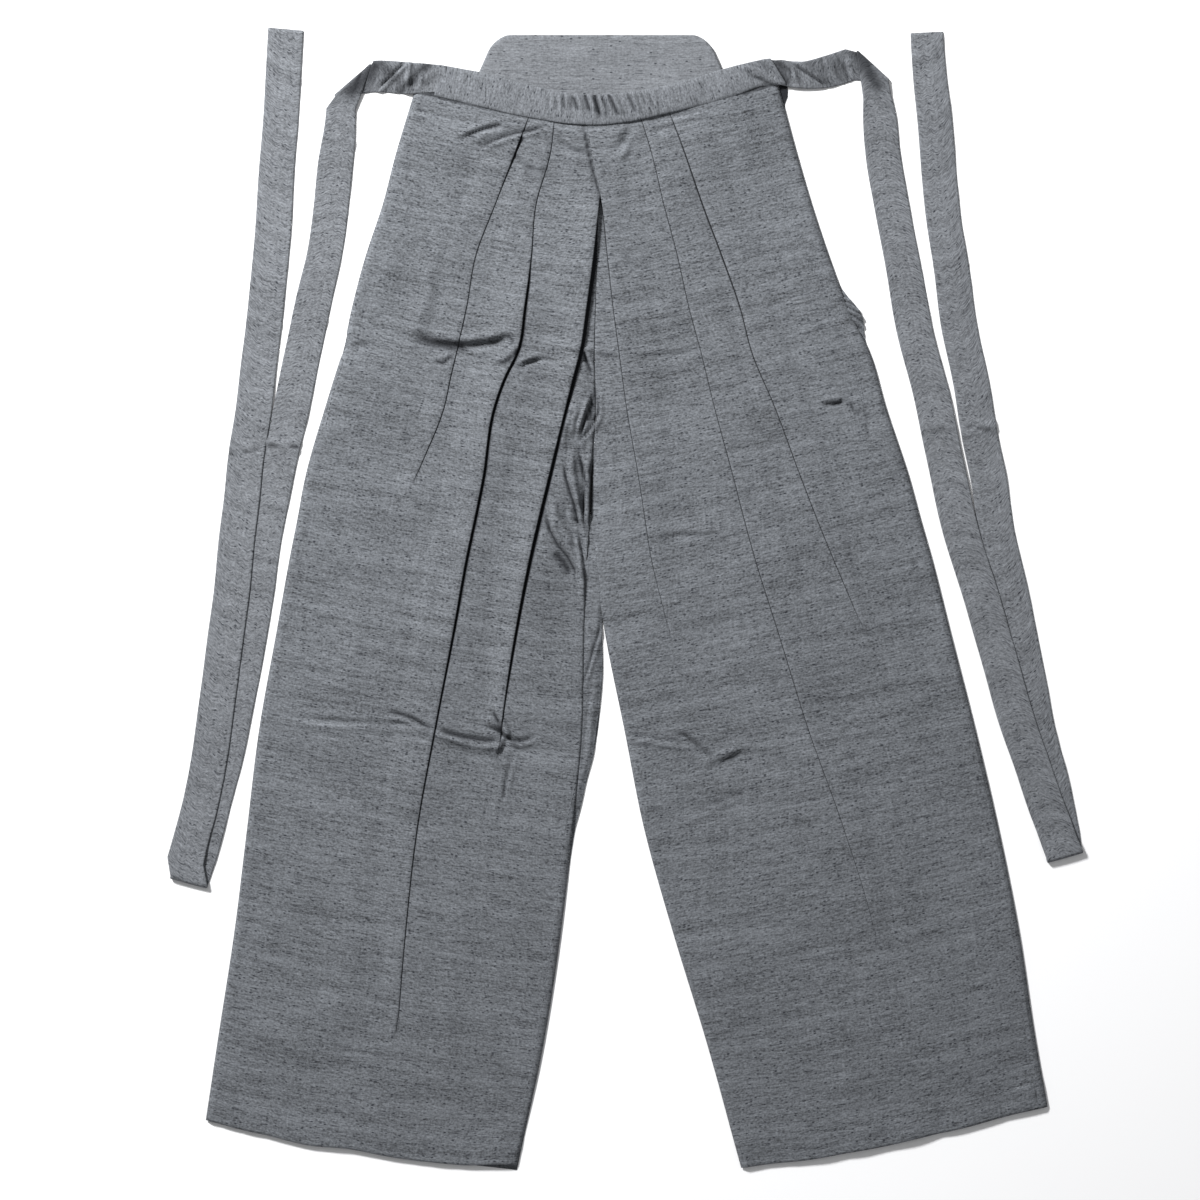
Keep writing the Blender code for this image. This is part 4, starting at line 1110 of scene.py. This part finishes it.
def tieRows(tie):
    # pairs of edge points down the whole tie, with the rows that go round each turn
    rows = []
    flip = 1

    def bridge(first, second):
        far = max(np.linalg.norm(np.subtract(a, b)) for a, b in zip(first, second))
        count = max(2, int(far / tieCloth["step"]))
        for i in range(1, count):
            rows.append([np.array(a) + (np.array(b) - a) * i / count for a, b in zip(first, second)])

    for run, turn in zip(tie["runs"], [*tie["turns"], None]):
        x, y, width, z, tilt, ax, ay = stationRows(run, tieCloth["step"] if rows else 1.2)
        pairs = []
        for i in range(len(x)):
            half = flip * width[i] / 2
            pairs.append([
                np.array((x[i] + ax[i] * half, y[i] + ay[i] * half, z[i] - tilt[i] / 2)),
                np.array((x[i] - ax[i] * half, y[i] - ay[i] * half, z[i] + tilt[i] / 2)),
            ])
        if rows:
            bridge(rows[-1], pairs[0])
        rows += pairs
        if turn is None:
            break
        tx, ty, length, bearing, zIn, zOut = turn
        along = np.array((math.cos(math.radians(bearing)), math.sin(math.radians(bearing)), 0))
        before = rows[-1]
        if np.dot(along, before[0] - before[1]) < 0:
            along = -along
        middle = np.array((tx, ty, 0.0))
        outwards = np.array((-along[1], along[0], 0))
        came = (before[0] + before[1]) / 2
        if np.dot(outwards[:2], (middle - came)[:2]) < 0:
            outwards = -outwards
        radius = abs(zOut - zIn) / 2
        bends = []
        for angle in (-90, -50, 0, 50, 90):
            out = radius * math.cos(math.radians(angle))
            up = (zIn + zOut) / 2 + (zOut - zIn) / 2 * math.sin(math.radians(angle))
            centre = middle + outwards * (out - radius)
            centre[2] = up
            bends.append([centre + along * length / 2, centre - along * length / 2])
        bridge(before, bends[0])
        rows += bends
        flip = -flip
    return np.array(rows)


def makeTie(name, tie, seed):
    rows = tieRows(tie)
    left, right = rows[:, 0], rows[:, 1]
    middle = (left + right) / 2
    across = right - left
    width = np.linalg.norm(across, axis=1)
    across = across / width[:, None]
    forward = np.gradient(middle, axis=0)
    forward = forward / np.linalg.norm(forward, axis=1)[:, None]
    normal = np.cross(across, forward)
    normal = normal / np.linalg.norm(normal, axis=1)[:, None]
    # flattened tube, its seam along one edge
    flat = 14
    high = tieCloth["halfHeight"]
    section = []
    for i in range(flat + 1):
        t = -0.93 + 1.86 * i / flat
        section.append((t, 0, 1 - 0.15 * t * t))
    section += [(1, -0.35, 0.62), (1, 0, 0), (1, -0.35, -0.62)]
    for i in range(flat + 1):
        t = 0.93 - 1.86 * i / flat
        section.append((t, 0, -1 + 0.15 * t * t))
    section = [(-1, 0.35, 0.62)] + section + [(-1, 0.35, -0.62), (-1, 0.02, -0.08)]
    section = [(-1, 0.0, 0.08)] + section
    points = []
    for part, inset, lift in section:
        offset = part * width / 2 + inset
        points.append(middle + across * offset[:, None] + normal * (lift * high))
    points = np.array(points).transpose(1, 0, 2)
    x, y = points[..., 0], points[..., 1]
    # painted shade in the tie's creases and where it turns from the light
    bend, paintedShade = creaseHeights(tie["creases"], x, y)
    wave = ripples(x, y, seed, 60, 0.22) + ripples(x, y, seed + 1, 24, 0.07)
    points[..., 2] += bend + wave
    points[..., 0] += ripples(x * 0, y, seed + 2, 110, 0.5)
    lowest = points[..., 2].min(axis=1)
    points[..., 2] += np.maximum(0.3 - lowest, 0)[:, None]
    uv = np.stack([arcLengths(points, 1), arcLengths(points, 0)], axis=2)
    piece = sheetOf(name, points, uv, tieCloth["thickness"], tieFinish, paintedShade)
    length = float(np.linalg.norm(np.diff(middle, axis=0), axis=1).sum())
    print(name, "is", round(length), "mm long")
    return piece, length


tieLeft, leftLength = makeTie("front_tie_left_cloth", leftTie, 51)
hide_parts("front_tie_left")
tieRight, rightLength = makeTie("front_tie_right_cloth", rightTie, 61)
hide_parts("front_tie_right")


# back ties, tucked flat inside the legs
backTie = {"width": 28, "length": 690, "slope": 0.14, "out": 115, "height": 0.85, "thickness": 0.4}


def makeBackTie(name, side):
    t = np.linspace(0, 1, 120)
    x = board["centre"] + side * backTie["out"] + side * backTie["slope"] * backTie["length"] * t
    y = backCloth["top"] - backTie["length"] * t
    half = np.full(len(t), backTie["width"] / 2)
    px = between(x - half, x + half, 8, True)
    py = np.broadcast_to(y[:, None], px.shape)
    pz = np.full(px.shape, backTie["height"])
    points = np.stack([px, py, pz], axis=2)
    uv = np.stack([px * 0.001, -py * 0.001], axis=2)
    piece = sheetOf(name, points, uv, backTie["thickness"], tieFinish)
    return piece


backTieLeft = makeBackTie("back_tie_left_cloth", -1)
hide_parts("back_tie_left")
backTieRight = makeBackTie("back_tie_right_cloth", 1)
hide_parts("back_tie_right")
print("ties made")


def makeBoard(name):
    foot, high, corner = board["foot"], board["height"], board["corner"]
    rise = np.concatenate([
        np.linspace(0, high - corner, 26)[:-1],
        high - corner + corner * np.sin(np.linspace(0, math.pi / 2, 14)),
    ])
    half = board["halfFoot"] + (board["halfTop"] - board["halfFoot"]) * rise / high
    over = np.clip((rise - (high - corner)) / corner, 0, 1)
    half = half - corner * (1 - np.sqrt(np.clip(1 - over ** 2, 0, 1)))
    columns = np.sin(np.linspace(-math.pi / 2, math.pi / 2, 70))
    columns = 0.35 * columns + 0.65 * np.linspace(-1, 1, 70)
    x = board["centre"] + half[:, None] * columns
    y = np.broadcast_to(foot + rise[:, None], x.shape)
    fromSide = half[:, None] * (1 - np.abs(columns))
    fromTop = high - rise[:, None]
    edge = ease(np.minimum(fromSide, fromTop), -0.3, 3.2) ** 0.6
    z = board["top"] - 0.8 * (1 - edge) + ripples(x, y, 71, 90, 0.1) + ripples(x, y, 73, 30, 0.04)
    points = np.stack([x, y, z], axis=2)
    uv = np.stack([x * 0.001 + 4.4, y * 0.001], axis=2)
    piece = sheetOf(name, points - (0, 0, board["thickness"] / 2), uv, board["thickness"], boardFinish)
    return piece


boardPiece = makeBoard("back_board_cloth")
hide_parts("back_board")
print("board made")


# stitching
stitchLook = {
    "length": 2.6, "width": 0.5, "height": 0.45, "rounded": 0.18, "space": 4.6, "roughness": 0.7,
    "darkThread": (0.03, 0.033, 0.04), "paleThread": (0.28, 0.3, 0.33),
}
threadFinish = bpy.data.materials.new("thread_look")
threadFinish.use_nodes = True
threadTree = threadFinish.node_tree
threadShader = threadTree.nodes["Principled BSDF"]
threadPlace = addNode(threadTree, "ShaderNodeTexCoord", (-900, 0))
threadTwist = addNode(threadTree, "ShaderNodeTexNoise", (-700, 0), Scale=1800.0, Detail=1.0)
threadTree.links.new(threadPlace.outputs["Object"], threadTwist.inputs["Vector"])
threadColour = mixed(
    threadTree, threadTwist.outputs[0], stitchLook["darkThread"], stitchLook["paleThread"], (-400, 0)
)
threadTree.links.new(threadColour, threadShader.inputs["Base Color"])
threadShader.inputs["Roughness"].default_value = stitchLook["roughness"]


def stitchShape():
    # one stitch, rounded off, made once and copied
    bpy.ops.object.select_all(action="DESELECT")
    bpy.ops.mesh.primitive_cube_add(size=1)
    stitch = bpy.context.object
    size = np.array((stitchLook["length"], stitchLook["width"], stitchLook["height"])) * 0.001
    corners = np.empty(24)
    stitch.data.vertices.foreach_get("co", corners)
    stitch.data.vertices.foreach_set("co", (corners.reshape(-1, 3) * size).ravel())
    bevel = stitch.modifiers.new("Round", "BEVEL")
    bevel.width = stitchLook["rounded"] * 0.001
    bevel.segments = 1
    bpy.ops.object.modifier_apply(modifier=bevel.name)
    return stitch


def stitchLine(name, paths, tops, lift=0.32, space=None):
    # stitches laid along paths, each at the height of the cloth under it
    model = stitchShape()
    copies = []
    for path in paths:
        path = np.array(path, float)
        gone = np.concatenate([[0], np.cumsum(np.linalg.norm(np.diff(path, axis=0), axis=1))])
        for at in np.arange(1, gone[-1], space or stitchLook["space"]):
            x, y = np.interp(at, gone, path[:, 0]), np.interp(at, gone, path[:, 1])
            x2, y2 = np.interp(at + 0.5, gone, path[:, 0]), np.interp(at + 0.5, gone, path[:, 1])
            near = np.hypot(tops[:, 0] - x, tops[:, 1] - y)
            z = tops[near < max(4.0, near.min() + 0.01), 2].max()
            copy = model.copy()
            copy.data = model.data.copy()
            bpy.context.collection.objects.link(copy)
            turn = math.atan2(y2 - y, x2 - x)
            place = np.empty(len(copy.data.vertices) * 3)
            copy.data.vertices.foreach_get("co", place)
            place = place.reshape(-1, 3)
            c, s = math.cos(turn), math.sin(turn)
            turned = np.stack([
                place[:, 0] * c - place[:, 1] * s, place[:, 0] * s + place[:, 1] * c, place[:, 2],
            ], axis=1)
            turned = turned + (np.array((x, y, z + lift)) + shift) * 0.001
            copy.data.vertices.foreach_set("co", turned.ravel())
            copies.append(copy)
    bpy.data.objects.remove(model, do_unlink=True)
    bpy.ops.object.select_all(action="DESELECT")
    for copy in copies:
        copy.select_set(True)
    bpy.context.view_layer.objects.active = copies[0]
    bpy.ops.object.join()
    piece = bpy.context.object
    piece.name = name
    piece.data.materials.clear()
    piece.data.materials.append(threadFinish)
    bpy.ops.object.shade_smooth()
    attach(piece, "root")
    return piece


openingLine = [
    (101, 446), (109, 427), (128, 378), (156, 316), (176, 287), (188, 263), (197, 239), (205, 214),
    (210, 190), (213, 177),
]
openingInner = [(x + 7.5 - 5 * i / 9, y - 1) for i, (x, y) in enumerate(openingLine)]
opening = stitchLine("side_opening_stitches", [openingLine, openingInner], rightTops)
sideDashes = stitchLine("side_seam_stitches", [[(-254, 212), (-263, 184), (-269, 155)]], leftTops)
bandStitches = stitchLine(
    "band_stitches", [[(-125.6, 471), (-125.2, 446)], [(-106, 466), (-105, 442)]], bandTops, 0.4, 3.6
)


def hemLineOf(leg, rise):
    hemLine = smoothCurve(leg["hem"])
    (high, *above), (low, *below) = leg["levels"][-2:]
    ends = []
    for i, inset in ((0, 4), (4, -4)):
        reach = below[i] + (above[i] - below[i]) * (hemLine(below[i]) + rise - low) / (high - low)
        ends.append(reach + inset * leg["inwards"])
    x = np.linspace(min(ends), max(ends), 40)
    return list(zip(x, hemLine(x) + rise))


leftInseam = [(-45, -170), (-54, -208), (-64, -298), (-79, -396), (-92, -462)]
leftHem = stitchLine("left_hem_stitches", [hemLineOf(leftLeg, 24), leftInseam], leftTops)
rightHem = stitchLine("right_hem_stitches", [hemLineOf(rightLeg, 24)], rightTops)
print("stitches made")


# floor, light and camera
floorLook = {"colour": (0.93, 0.93, 0.935), "size": 14, "roughness": 0.85, "shine": 0.1}
bpy.ops.object.select_all(action="DESELECT")
bpy.ops.mesh.primitive_plane_add(size=floorLook["size"], location=(0, 0, 0))
floor = bpy.context.object
floor.name = "floor"
floorFinish = bpy.data.materials.new("floor_look")
floorFinish.use_nodes = True
floorShader = floorFinish.node_tree.nodes["Principled BSDF"]
floorShader.inputs["Base Color"].default_value = (*floorLook["colour"], 1)
floorShader.inputs["Roughness"].default_value = floorLook["roughness"]
floorShader.inputs["Specular IOR Level"].default_value = floorLook["shine"]
floor.data.materials.append(floorFinish)

light = {
    "keyPlace": (-1.75, 2.1, 2.1),
    "keySize": 0.55,
    "keyPower": 205,
    "fillPlace": (0.3, 0.6, 3.4),
    "fillSize": 3.0,
    "fillPower": 14,
    "sky": 0.24,
    "skyColour": (0.97, 0.98, 1.0, 1),
}


def areaLight(name, place, size, power, aim=(0, 0, 0)):
    bpy.ops.object.light_add(type="AREA", location=place)
    lamp = bpy.context.object
    lamp.name = name
    lamp.data.size = size
    lamp.data.energy = power
    toward = np.array(aim) - np.array(place)
    flatDistance = math.hypot(toward[0], toward[1])
    tilt = math.atan2(flatDistance, -toward[2])
    lamp.rotation_euler = (tilt, 0, math.atan2(toward[1], toward[0]) - math.pi / 2)
    return lamp


areaLight("key", light["keyPlace"], light["keySize"], light["keyPower"])
areaLight("fill", light["fillPlace"], light["fillSize"], light["fillPower"])
sky = bpy.data.worlds.new("studio")
sky.use_nodes = True
background = sky.node_tree.nodes["Background"]
background.inputs["Color"].default_value = light["skyColour"]
background.inputs["Strength"].default_value = light["sky"]
bpy.context.scene.world = sky

view = {"lens": 85, "acrossAll": 1080, "aim": (-22.05, -1.35), "above": 4}
camera = bpy.data.cameras.new("camera")
camera.lens = view["lens"]
camera.sensor_width = 36
cameraObject = bpy.data.objects.new("camera", camera)
bpy.context.scene.collection.objects.link(cameraObject)
rise = view["acrossAll"] / 36 * view["lens"] + view["above"]
cameraObject.location = [c * 0.001 for c in (view["aim"][0] + shift[0], view["aim"][1] + shift[1], rise)]
cameraObject.rotation_euler = (0, 0, 0)
bpy.context.scene.camera = cameraObject
print("floor, light and camera set")

bpy.context.view_layer.update()
